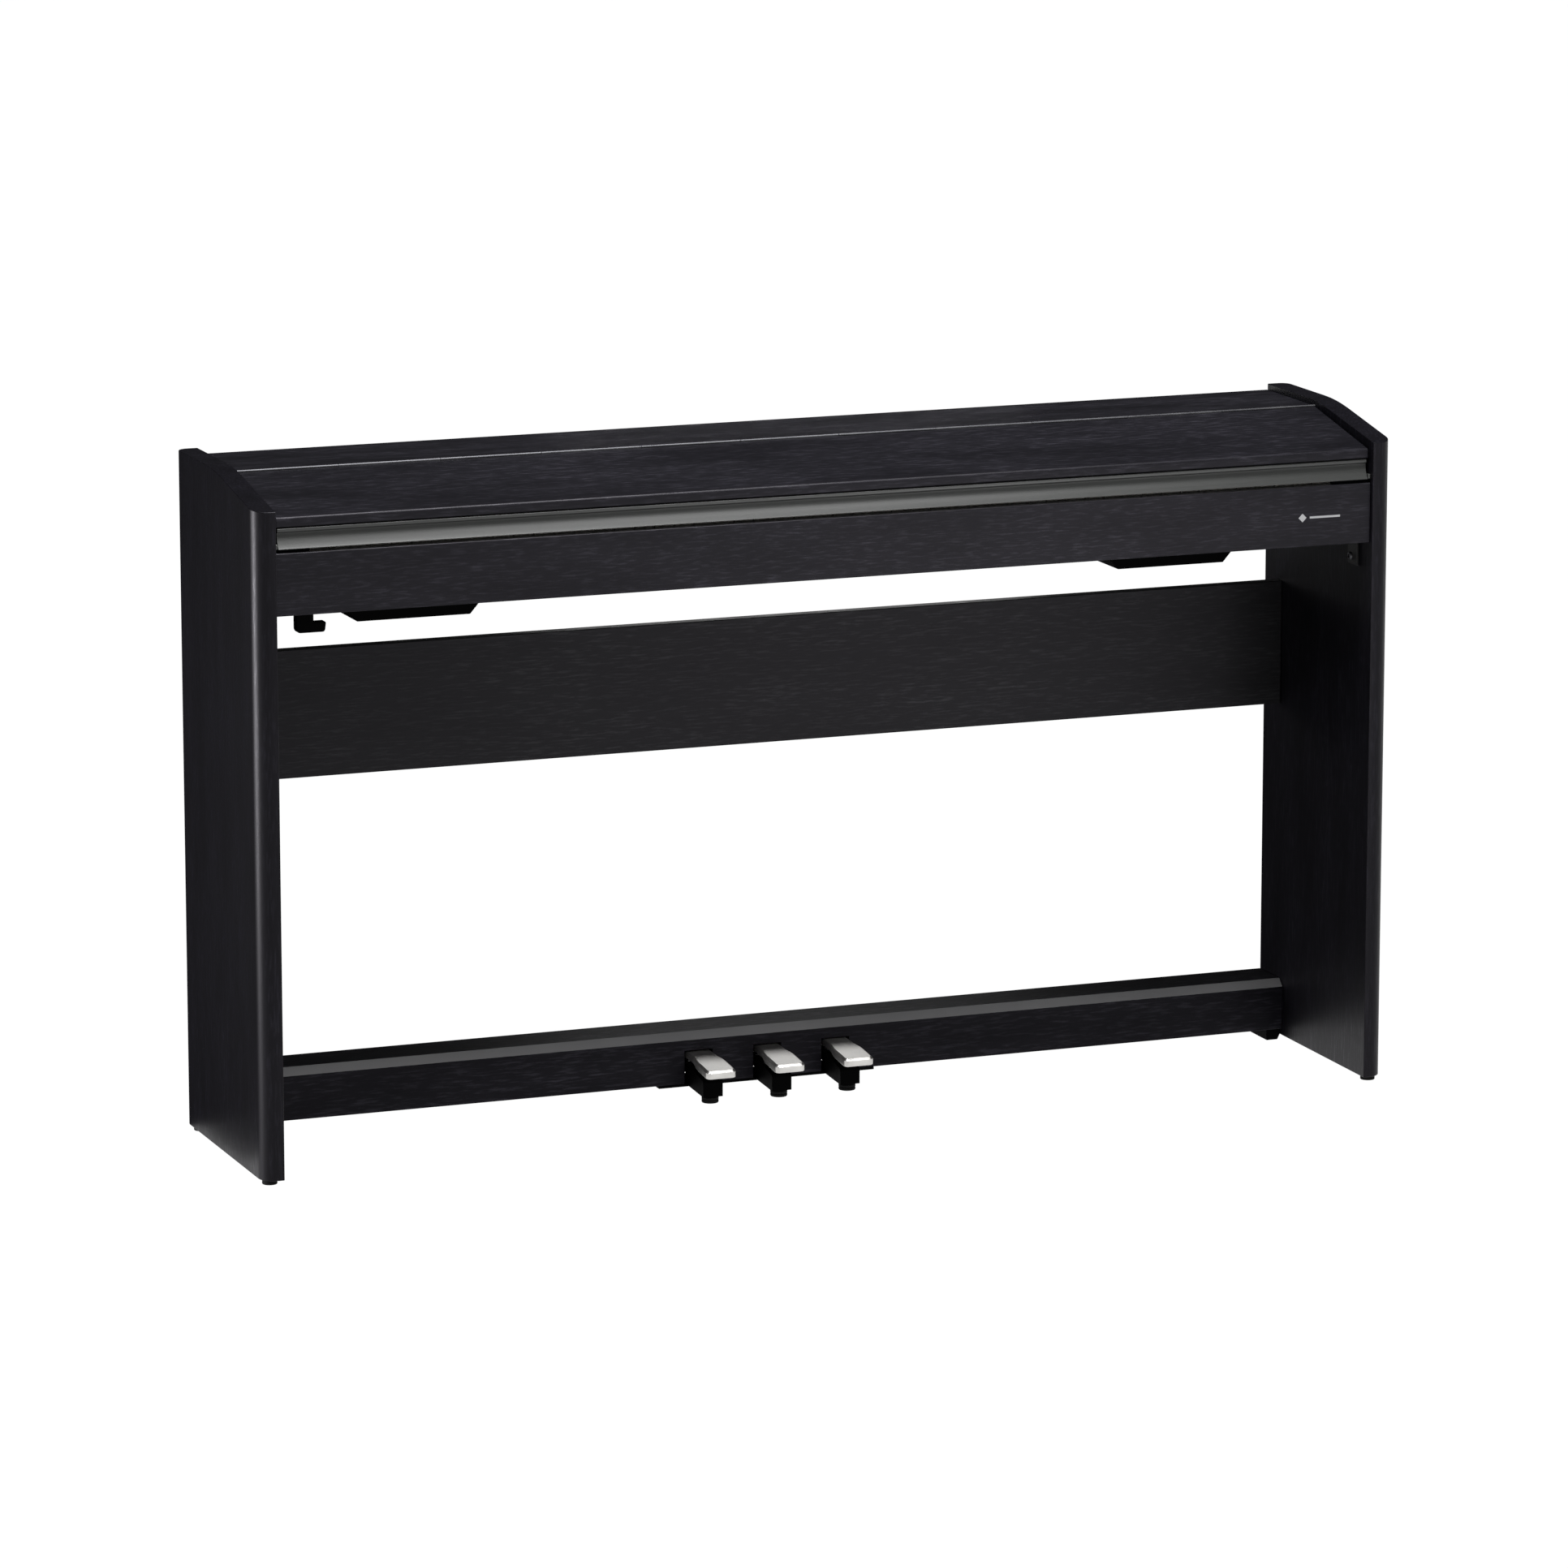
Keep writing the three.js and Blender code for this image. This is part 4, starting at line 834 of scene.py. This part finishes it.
def pedal_half_outline(toe_y, end_y):
    """(half width, y) from the middle of the toe to the middle of the neck's end."""
    flat = TOE_HALF - TOE_CORNER
    points = [(0, toe_y), (flat * 0.5, toe_y), (flat * 0.97, toe_y)]
    for step in range(1, 13):
        angle = pi / 2 * step / 12
        points.append((flat + TOE_CORNER * sin(angle), toe_y + TOE_CORNER * (1 - cos(angle))))
    for step in range(1, 25):
        y = toe_y + TOE_CORNER + (end_y - toe_y - TOE_CORNER) * step / 24
        narrow = eased((y - toe_y - WIDENING[0]) / (WIDENING[1] - WIDENING[0]))
        points.append((TOE_HALF + (NECK_HALF - TOE_HALF) * narrow, y))
    return points + [(0, end_y)]


print("pedal outline of", len(pedal_half_outline(0, 0.1)), "points a side")


# %% Pedal shape
# Each ring has an inset from the outline, and a drop below the top or a rise above the underside, in mm.
TOP_RINGS = [(3.0, 0.0), (2.6, 0.15), (0.5, 1.75), (0.1, 2.25), (0.0, 2.8)]
UNDER_RINGS = [(0.0, 1.2), (0.3, 0.4), (1.1, 0.0)]


def inset(points, distance):
    """Half an outline moved inwards, each point along the mean normal of its two edges."""
    moved = []
    for i, (x, y) in enumerate(points):
        before = points[i - 1] if i else (-points[1][0], points[1][1])
        after = points[i + 1] if i + 1 < len(points) else (-points[-2][0], points[-2][1])
        along = Vector((after[0] - before[0], after[1] - before[1])).normalized()
        moved.append((max(0.0, x - along.y * distance) if x else 0.0, y + along.x * distance))
    return moved


def pedal_shape(middle_x, low, high):
    end_y = axle.y - 4.5 * MM
    half = pedal_half_outline(low.y, end_y)

    def top(y):
        forward = max(0.0, rail_front - y) / (rail_front - low.y)
        return high.z - TOP_FALL * forward**TOP_CURVE

    def under(y):
        share = eased((y - low.y - 20 * MM) / (rail_front - low.y - 20 * MM))
        return top(y) - TOE_DEEP + (TOE_DEEP - NECK_DEEP) * share

    made = bmesh.new()
    rings = []
    for rings_here, height, sign in ((TOP_RINGS, top, -1), (UNDER_RINGS, under, 1)):
        for set_in, away in rings_here:
            side = []
            for (x, y), (x0, y0) in zip(inset(half, set_in * MM), half):
                fade = 1 - 0.45 * eased((y0 - low.y - NECK_STARTS) / NECK_FADE)
                z = height(y) + sign * away * MM * fade
                side.append((x0 + (x - x0) * fade, y0 + (y - y0) * fade, z))
            rings.append(side)
    loops = [[made.verts.new((middle_x + x, y, z)) for x, y, z in side] for side in rings]
    mirrored = [[made.verts.new((middle_x - x, y, z)) for x, y, z in side] for side in rings]
    for loop_set in (loops, mirrored):
        for near, far in zip(loop_set, loop_set[1:]):
            for i in range(len(near) - 1):
                made.faces.new((near[i], near[i + 1], far[i + 1], far[i]))
    for right, left, lift in ((loops[0], mirrored[0], CROWN), (loops[-1], mirrored[-1], 0)):
        spine = [made.verts.new((middle_x, v.co.y, v.co.z + lift)) for v in right]
        for i in range(len(right) - 1):
            made.faces.new((right[i], right[i + 1], spine[i + 1], spine[i]))
            made.faces.new((left[i], left[i + 1], spine[i + 1], spine[i]))
    bmesh.ops.remove_doubles(made, verts=made.verts[:], dist=0.01 * MM)
    return made


# %% [markdown]
# ## Pedal hubs and springs
#
# Behind the rail each pedal ends in a barrel that turns on the axle. A coil spring stands between the
# base plate and the neck. Its first and last turns lie nearly flat, as wound springs do. How far the neck
# comes down over the spring at full travel is worked out and printed, but the spring isn't squashed.


# %% Hubs, springs and the three pedals
HUB_RADIUS, HUB_BORE, HUB_EDGE = 7.5 * MM, 3.25 * MM, 0.6 * MM
SPRING_WIRE, SPRING_TURNS = 0.9 * MM, 5


def hub_shape(middle_x, made):
    start = middle_x - NECK_HALF
    end = 2 * NECK_HALF
    rim = HUB_RADIUS - HUB_EDGE
    profile = [(HUB_BORE, 0), (rim, 0), (HUB_RADIUS, HUB_EDGE)]
    profile += [(HUB_RADIUS, end - HUB_EDGE), (rim, end), (HUB_BORE, end)]
    sides = 40
    spokes = [2 * pi * step / sides for step in range(sides)]
    loops = []
    for radius, along in profile:
        ring = [(start + along, axle.y + radius * cos(a), axle.z + radius * sin(a)) for a in spokes]
        loops.append([made.verts.new(point) for point in ring])
    for near, far in zip(loops, loops[1:] + loops[:1]):
        for i in range(sides):
            after = (i + 1) % sides
            made.faces.new((near[i], near[after], far[after], far[i]))


def spring_shape(low, high, wire, turns):
    middle = (low + high) / 2
    coil = (high.x - low.x) / 2 - wire
    rise = high.z - low.z - 2 * wire
    steps = turns * 28
    rings = []
    for step in range(steps + 1):
        share = step / steps
        angle = 2 * pi * turns * share
        out = Vector((cos(angle), sin(angle), 0))
        z = low.z + wire + rise * (0.5 - 0.5 * cos(pi * share) * (1 - 0.35 * sin(pi * share) ** 2))
        centre = Vector((middle.x, middle.y, z)) + out * coil
        ring = []
        for side in range(8):
            spoke = 2 * pi * side / 8
            ring.append(centre + out * wire * cos(spoke) + Vector((0, 0, wire * sin(spoke))))
        rings.append(ring)
    return loft(rings)


for name in ("soft", "sostenuto", "damper"):
    pedal = name + "_pedal"
    low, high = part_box(pedal)
    shape = pedal_shape((low.x + high.x) / 2, low, high)
    hub_shape((low.x + high.x) / 2, shape)
    piece("cast_" + pedal, shape, pedal, nickel, replaces=[pedal], crease=24)
    spring_low, spring_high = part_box(pedal + "_spring")
    winding = spring_shape(spring_low, spring_high, SPRING_WIRE, SPRING_TURNS)
    coil = piece("coil_" + pedal, winding, "cabinet", zinc, crease=60, replaces=[pedal + "_spring"])
    lever = axle.y - (spring_low.y + spring_high.y) / 2
    give = lever * sin(radians(joints[pedal + "_pivot"]["range_deg"][1]))
    tall = spring_high.z - spring_low.z
    1 - give / tall
    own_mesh(coil)
print("three pedals; each spring gives", round(give / MM, 2), "mm")

# %% [markdown]
# ## Rubber under the pedal arms
#
# Each pedal arm stands on the floor through a short stem with a rubber ring round it. The ring is
# turned, with a small groove, and sits round the moulded foot.

# %% Pedal arm feet
ARM_FOOT_RADIUS = 9.5 * MM
RING_WALL = 0.35 * MM
FOOT_FROM_TIP = 10 * MM
arm_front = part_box("pedal_chassis")[0].y
r = ARM_FOOT_RADIUS + RING_WALL
ring_profile = [(r - 1 * MM, 0), (r, 0.7 * MM), (r, 2.6 * MM), (r - 0.5 * MM, 3 * MM)]
ring_profile += [(r - 0.5 * MM, 3.5 * MM), (r, 3.9 * MM), (r, 6.2 * MM), (r - 0.7 * MM, 6.8 * MM)]
for name in ("soft", "sostenuto", "damper"):
    low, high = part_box(name + "_pedal")
    place = ((low.x + high.x) / 2, arm_front + FOOT_FROM_TIP, 0.02 * MM)
    foot_ring = turned(ring_profile, place, (0, 0, 1), sides=40)
    piece(name + "_arm_foot", foot_ring, "cabinet", rubber, crease=40)
print("three arm feet")

# %% [markdown]
# ## Screws, bolts and fitting covers
#
# Flat-pack furniture is held by few, well-placed fasteners: bolts through steel brackets, wood screws
# round the back panel and under the keybed, and cam fittings under plastic covers at the ends of the
# brace and the rail. A head is turned, and its socket is the same turned shape with a cross or a hexagon
# as the shape of the inner rings.


# %% Fastener heads
def cross_socket(angle, ring):
    arm = 0.30 / max(abs(cos(angle)), abs(sin(angle)))
    blade = 0.22 / max(0.22, min(abs(cos(angle)), abs(sin(angle))))
    return max(arm, blade) if ring >= 4 else 1


def hex_socket(angle, ring):
    sector = (angle % (pi / 3)) - pi / 6
    return cos(pi / 6) / cos(sector) if ring >= 4 else 1


def fasteners(name, finish, radius, shape, places, aim, height=None):
    """One piece with a head at each place: a rounded rim, and a socket sunk into it."""
    height = height or radius * 0.42
    inner = radius * 0.56
    profile = [(radius, 0), (radius, height * 0.35), (radius * 0.86, height * 0.85)]
    profile += [(radius * 0.66, height), (inner, height * 0.99), (inner * 0.94, height * 0.25)]
    profile += [(inner * 0.2, height * 0.2)]
    made = bmesh.new()
    for place in places:
        turned(profile, place, aim, made, sides=48, shape=shape)
    piece(name, made, "cabinet", finish, crease=35)


SINK = 0.05 * MM

# %% [markdown]
# ## Where the fasteners go
#
# Every position is worked out from the part that the fastener goes into. A head's underside sinks a
# twentieth of a millimetre into its board, so that no light gets between them.

# %% Bracket bolts
BRACKET_STEEL = 2.5 * MM
BOLT_RADIUS = 4.6 * MM
for side, sign in (("left", -1), ("right", 1)):
    low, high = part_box("keybed_bracket_" + side)
    wall_x = (low.x if sign < 0 else high.x) - sign * (BRACKET_STEEL - SINK)
    bolt = (wall_x, (low.y + high.y) / 2 + 4 * MM, low.z + 9 * MM)
    fasteners("bracket_bolt_" + side, hinge_steel, BOLT_RADIUS, hex_socket, [bolt], (-sign, 0, 0), 3 * MM)
    leg_x = (low.x + high.x) / 2 - sign * 3 * MM
    leg_z = high.z - BRACKET_STEEL + SINK
    screws = [(leg_x, low.y + 6 * MM, leg_z), (leg_x, high.y - 6 * MM, leg_z)]
    fasteners("bracket_screws_" + side, zinc, 3.2 * MM, cross_socket, screws, (0, 0, -1))
print("bracket bolts and screws")


# %% Board screws
def row(first, last, count):
    return [first + (last - first) * i / (count - 1) for i in range(count)]


low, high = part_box("back_panel")
back_xs = row(low.x + 25 * MM, high.x - 25 * MM, 9)
back_screws = [(x, high.y - SINK, z) for x in back_xs for z in (low.z + 8 * MM, high.z - 8 * MM)]
fasteners("back_panel_screws", zinc, 3.4 * MM, cross_socket, back_screws, (0, 1, 0))

low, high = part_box("keybed")
bed_xs = row(low.x + 60 * MM, high.x - 60 * MM, 8)
bed_screws = [(x, y, low.z + SINK) for x in bed_xs for y in (low.y + 9 * MM, high.y - 12 * MM)]
fasteners("keybed_screws", zinc, 3.4 * MM, cross_socket, bed_screws, (0, 0, -1))

low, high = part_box("connector_panel")
plate_screws = [(x, high.y - SINK, (low.z + high.z) / 2) for x in (low.x + 6 * MM, high.x - 6 * MM)]
fasteners("connector_panel_screws", zinc, 2.4 * MM, cross_socket, plate_screws, (0, 1, 0))
print(len(back_screws) + len(bed_screws) + len(plate_screws), "board screws")

# %% Fitting covers
CAP_RADIUS, CAP_HEIGHT = 7.5 * MM, 1.2 * MM
low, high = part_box("rear_brace")
cover_xs = (low.x + 34 * MM, high.x - 34 * MM)
brace_caps = [(x, high.y - SINK, z) for x in cover_xs for z in (low.z + 32 * MM, high.z - 32 * MM)]
cover = black_plastic, CAP_RADIUS, cross_socket
fasteners("brace_fitting_covers", *cover, brace_caps, (0, 1, 0), CAP_HEIGHT)
low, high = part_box("pedal_rail")
rail_caps = [(x, high.y - SINK, (low.z + high.z) / 2) for x in cover_xs]
fasteners("rail_fitting_covers", *cover, rail_caps, (0, 1, 0), CAP_HEIGHT)
print(len(brace_caps) + len(rail_caps), "fitting covers")

# %% [markdown]
# ## Buffers and lugs
#
# The closed lid rests on two rubber posts that stand on the end blocks. A small grey stop fills the gap
# between each end of the handle and the side panel. On the lid's underside two lugs hold the ends of the
# music ledge.

# %% Lid buffers, stops and ledge lugs
panel_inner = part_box("side_panel_right")[0].x
handle_low, handle_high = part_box("lid_handle")
lid_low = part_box("lid")[0]
LID_SLOPE = radians(11)
for side, sign in (("left", -1), ("right", 1)):
    low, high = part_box("cheek_block_" + side)
    post_y = low.y + 14 * MM
    under = lid_low.z + (post_y - lid_low.y) * tan(LID_SLOPE)
    tall = under - high.z - 1.6 * MM
    rings = [(5 * MM, 0), (5 * MM, 1.5 * MM), (4 * MM, 2 * MM)]
    rings += [(3.8 * MM, tall - 0.8 * MM), (3 * MM, tall)]
    post = turned(rings, ((low.x + high.x) / 2, post_y, high.z - SINK), (0, 0, 1))
    piece("lid_buffer_" + side, post, "cabinet", rubber, crease=50)
    inner, outer = sorted((sign * (handle_high.x + 0.6 * MM), sign * (panel_inner - SINK)))
    stop = slab((inner, handle_low.y + 0.6 * MM, handle_low.z + 0.5 * MM),
                (outer, handle_low.y + 7 * MM, handle_low.z + 6 * MM))
    piece("lid_stop_" + side, stop, "cabinet", grey_profile, 0.8 * MM)

ledge_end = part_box("music_ledge")[1].x
LUG_RADIUS, LUG_THICK = 3.2 * MM, 4 * MM
pivot = Vector(joints["ledge_pivot"]["pos_m"])
for side, sign in (("left", -1), ("right", 1)):
    near = sign * (ledge_end + 0.4 * MM)
    x0, x1 = sorted((near, near + sign * LUG_THICK))
    seat_z = pivot.z + 2.8 * MM
    half_turn = row(pi, 2 * pi, 9)
    arc = [(pivot.y + LUG_RADIUS * cos(a), pivot.z + LUG_RADIUS * sin(a)) for a in half_turn]
    outline = arc + [(pivot.y + 8 * MM, seat_z + 1.6 * MM), (pivot.y - 8 * MM, seat_z - 1.5 * MM)]
    lug = loft([[(x, y, z) for y, z in outline] for x in (x0, x1)])
    piece("ledge_lug_" + side, lug, "lid", black_plastic, 0.4 * MM)
print("buffers, stops and lugs")

# %% [markdown]
# ## Inside the sockets
#
# A socket that ends in a plain hole looks unfinished. The power inlet has its centre pin, the square
# data socket its tongue, and the line sockets two turned sleeves.

# %% Socket fittings
WELL_DEPTH = 11 * MM
INLET_AT, DATA_AT, LINE_AT = -55 * MM, -18 * MM, 34 * MM
LINE_HALF_PITCH = 5 * MM
plate_low, plate_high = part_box("connector_panel")
well = (plate_low + plate_high) / 2
well.y = plate_high.y - WELL_DEPTH
pin_profile = [(1 * MM, 0), (1 * MM, 8 * MM), (0.6 * MM, 8.6 * MM)]
pin = turned(pin_profile, well + Vector((INLET_AT, 0, 0)), (0, 1, 0))
piece("power_inlet_pin", pin, "cabinet", zinc, crease=50)
tongue_low = well + Vector((DATA_AT - 3 * MM, 0, -2 * MM))
tongue = slab(tongue_low, tongue_low + Vector((6 * MM, 8 * MM, 4 * MM)))
piece("data_socket_tongue", tongue, "cabinet", white_print, 0.3 * MM)
sleeve_profile = [(3.8 * MM, 0), (3.8 * MM, 9.6 * MM), (3.4 * MM, 10 * MM)]
sleeve_profile += [(2.2 * MM, 10 * MM), (1.9 * MM, 9.4 * MM), (1.8 * MM, 2 * MM)]
sleeves = bmesh.new()
for step in (-LINE_HALF_PITCH, LINE_HALF_PITCH):
    turned(sleeve_profile, well + Vector((LINE_AT + step, 0, 0)), (0, 1, 0), sleeves)
piece("line_socket_sleeves", sleeves, "cabinet", zinc, crease=40)
print("socket fittings")

# %% [markdown]
# ## Loudspeakers
#
# Each housing holds a driver that faces down through slots. From below one sees its rubber surround, the
# paper cone and the dust cap between the bars, so the driver is one turned section with all three, and
# its magnet above them.

# %% Drivers
for side in ("left", "right"):
    node = "speaker_driver_" + side
    low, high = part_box(node)
    middle = (low + high) / 2
    radius = (high.x - low.x) / 2
    deep = high.z - low.z
    section = [
        (radius * 0.06, 4.4 * MM),
        (radius * 0.20, 3.6 * MM),
        (radius * 0.27, 5.6 * MM),
        (radius * 0.72, 1.6 * MM),
        (radius * 0.76, 0.4 * MM),
        (radius * 0.82, 0.0),
        (radius * 0.88, 0.5 * MM),
        (radius * 0.91, 1.8 * MM),
        (radius, 2.0 * MM),
        (radius, 4.0 * MM),
        (radius * 0.88, 4.4 * MM),
        (radius * 0.56, deep * 0.55),
        (radius * 0.56, deep - 1 * MM),
        (radius * 0.50, deep),
    ]
    driver = turned(section, (middle.x, middle.y, low.z), (0, 0, 1), sides=64)
    piece("turned_" + node, driver, "cabinet", cone_paper, crease=30, replaces=[node])
print("two drivers")

# %% [markdown]
# ## A plain badge
#
# The treble end of the key slip carries a small badge. Ours is generic: a lozenge and a plain bar in
# light print, a tenth of a millimetre proud, with no lettering.

# %% Badge
BADGE_FROM_END, BADGE_UP = 90 * MM, 33.5 * MM
LOZENGE_HALF = 5 * MM
BAR = (14 * MM, 52 * MM)
BAR_HALF = 1.2 * MM
slip_low, slip_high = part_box("key_slip")
badge_x = slip_high.x - BADGE_FROM_END
badge_z = slip_low.z + BADGE_UP
front, back = slip_low.y - 0.12 * MM, slip_low.y + 0.1 * MM
corners = ((0, 0), (LOZENGE_HALF, -LOZENGE_HALF), (2 * LOZENGE_HALF, 0), (LOZENGE_HALF, LOZENGE_HALF))
badge = loft([[(badge_x + x, y, badge_z + z) for x, z in corners] for y in (front, back)])
slab((badge_x + BAR[0], front, badge_z - BAR_HALF), (badge_x + BAR[1], back, badge_z + BAR_HALF), badge)
badge_print = moulded("grey_profile", "badge_print", (0.26, 0.26, 0.27), (0.34, 0.34, 0.35), 0.42)
piece("slip_badge", badge, "cabinet", badge_print)
print("badge")

# %% [markdown]
# ## Floor and light
#
# Catalogue pictures of black furniture are taken on an opal acrylic floor that is lit from below, so
# that the floor goes white by itself and shadows all but vanish. Our floor glows in the same way.
# Because it needs no light from above, the lamps can be set for the piano alone. A wide overhead bank
# lights the top faces and the long bevels. A low softbox at the left draws the bright line down the
# rounded panel edge. One low and one high softbox in front light the broad faces. A small one behind
# shines on the pedals through the gap under the brace.

# %% Floor
FLOOR_HALF = 40.0


def studio_finish(name, shade, glow=0.0):
    """A dull, even finish for what stands round the piano."""
    material = bpy.data.materials.new(name)
    material.use_nodes = True
    shader = material.node_tree.nodes["Principled BSDF"].inputs
    looks = {"Base Color": (shade, shade, shade, 1), "Roughness": 1.0, "Specular IOR Level": 0.0}
    looks |= {"Emission Color": (1, 1, 1, 1), "Emission Strength": glow}
    for socket, value in looks.items():
        shader[socket].default_value = value
    return material


def spread(name, rectangles, z, material):
    """Flat rectangles at one height, each given by two opposite corners."""
    mesh = bpy.data.meshes.new(name)
    points, faces = [], []
    for (x0, y0), (x1, y1) in rectangles:
        faces.append(range(len(points), len(points) + 4))
        points += [(x0, y0, z), (x1, y0, z), (x1, y1, z), (x0, y1, z)]
    mesh.from_pydata(points, [], faces)
    mesh.materials.append(material)
    shown = bpy.data.objects.new(name, mesh)
    scene.collection.objects.link(shown)
    shown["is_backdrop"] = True
    return shown


whole = ((-FLOOR_HALF, -FLOOR_HALF), (FLOOR_HALF, FLOOR_HALF))
spread("studio_floor", [whole], -0.2 * MM, studio_finish("opal_acrylic_floor", 0.02, glow=1.01))


# %% Lights
def softbox(name, place, towards, width, height, radiance):
    """A rectangular lamp. Its power follows from the brightness that its face should have."""
    lamp = bpy.data.lights.new(name, "AREA")
    lamp.shape = "RECTANGLE"
    lamp.size, lamp.size_y = width, height
    lamp.energy = radiance * pi * width * height
    box = bpy.data.objects.new(name, lamp)
    box.location = place
    box.rotation_euler = (Vector(towards) - Vector(place)).to_track_quat("-Z", "Y").to_euler()
    box.visible_camera = False
    scene.collection.objects.link(box)


softbox("overhead_bank", (0.10, -0.65, 3.0), (0, 0, 0.6), 1.5, 1.0, 33.0)
softbox("left_softbox", (-2.6, 0.42, 0.28), (-0.68, -0.13, 0.36), 0.7, 0.6, 46.0)
softbox("front_softbox", (0.85, -1.75, 0.25), (0.15, 0.1, 0.5), 0.6, 0.4, 5.0)
softbox("high_front_softbox", (0.7, -2.0, 2.1), (0.0, 0.0, 0.3), 1.0, 1.0, 6.5)
softbox("pedal_softbox", (0.40, 1.05, 0.66), (0.0, 0.04, 0.05), 0.6, 0.36, 1.5)
print("glowing floor and five lamps")

# %% [markdown]
# ## Black cloth behind
#
# Seen at a flat angle, even dull foil mirrors a white floor. Photographers lay black cloth where a panel
# would mirror the floor, just outside the picture. Ours lies behind the piano and at its left. The
# camera doesn't see it, so it needs no trimming to the frame. The room itself stays dim, and the view
# has no film curve, so that white stays white.

# %% Cloth and dim room
BEHIND = ((-20.0, 0.15), (0.66, 30.0))
BESIDE = ((-20.0, -0.02), (-0.70, 0.15))
cloth = spread("black_cloth", [BEHIND, BESIDE], 0, studio_finish("black_cloth", 0.01))
cloth.visible_camera = False

world = bpy.data.worlds.new("studio")
scene.world = world
world.use_nodes = True
room = world.node_tree.nodes["Background"].inputs
room["Color"].default_value = (1, 1, 1, 1)
room["Strength"].default_value = 0.03
scene.view_settings.view_transform = "Standard"
print("black cloth and a dim room")

# %% [markdown]
# ## Last checks
#
# The finished piano has to fill the same box as the imported one. Both boxes are measured, and the
# difference at each corner is printed in millimetres.

# %% Write the sizes and finish
visual_box = [list(corner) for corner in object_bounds()]
growth = [round((v - p) / MM, 2) for new, old in zip(visual_box, packed_box) for v, p in zip(new, old)]
print("visual box against packed box, mm:", growth)
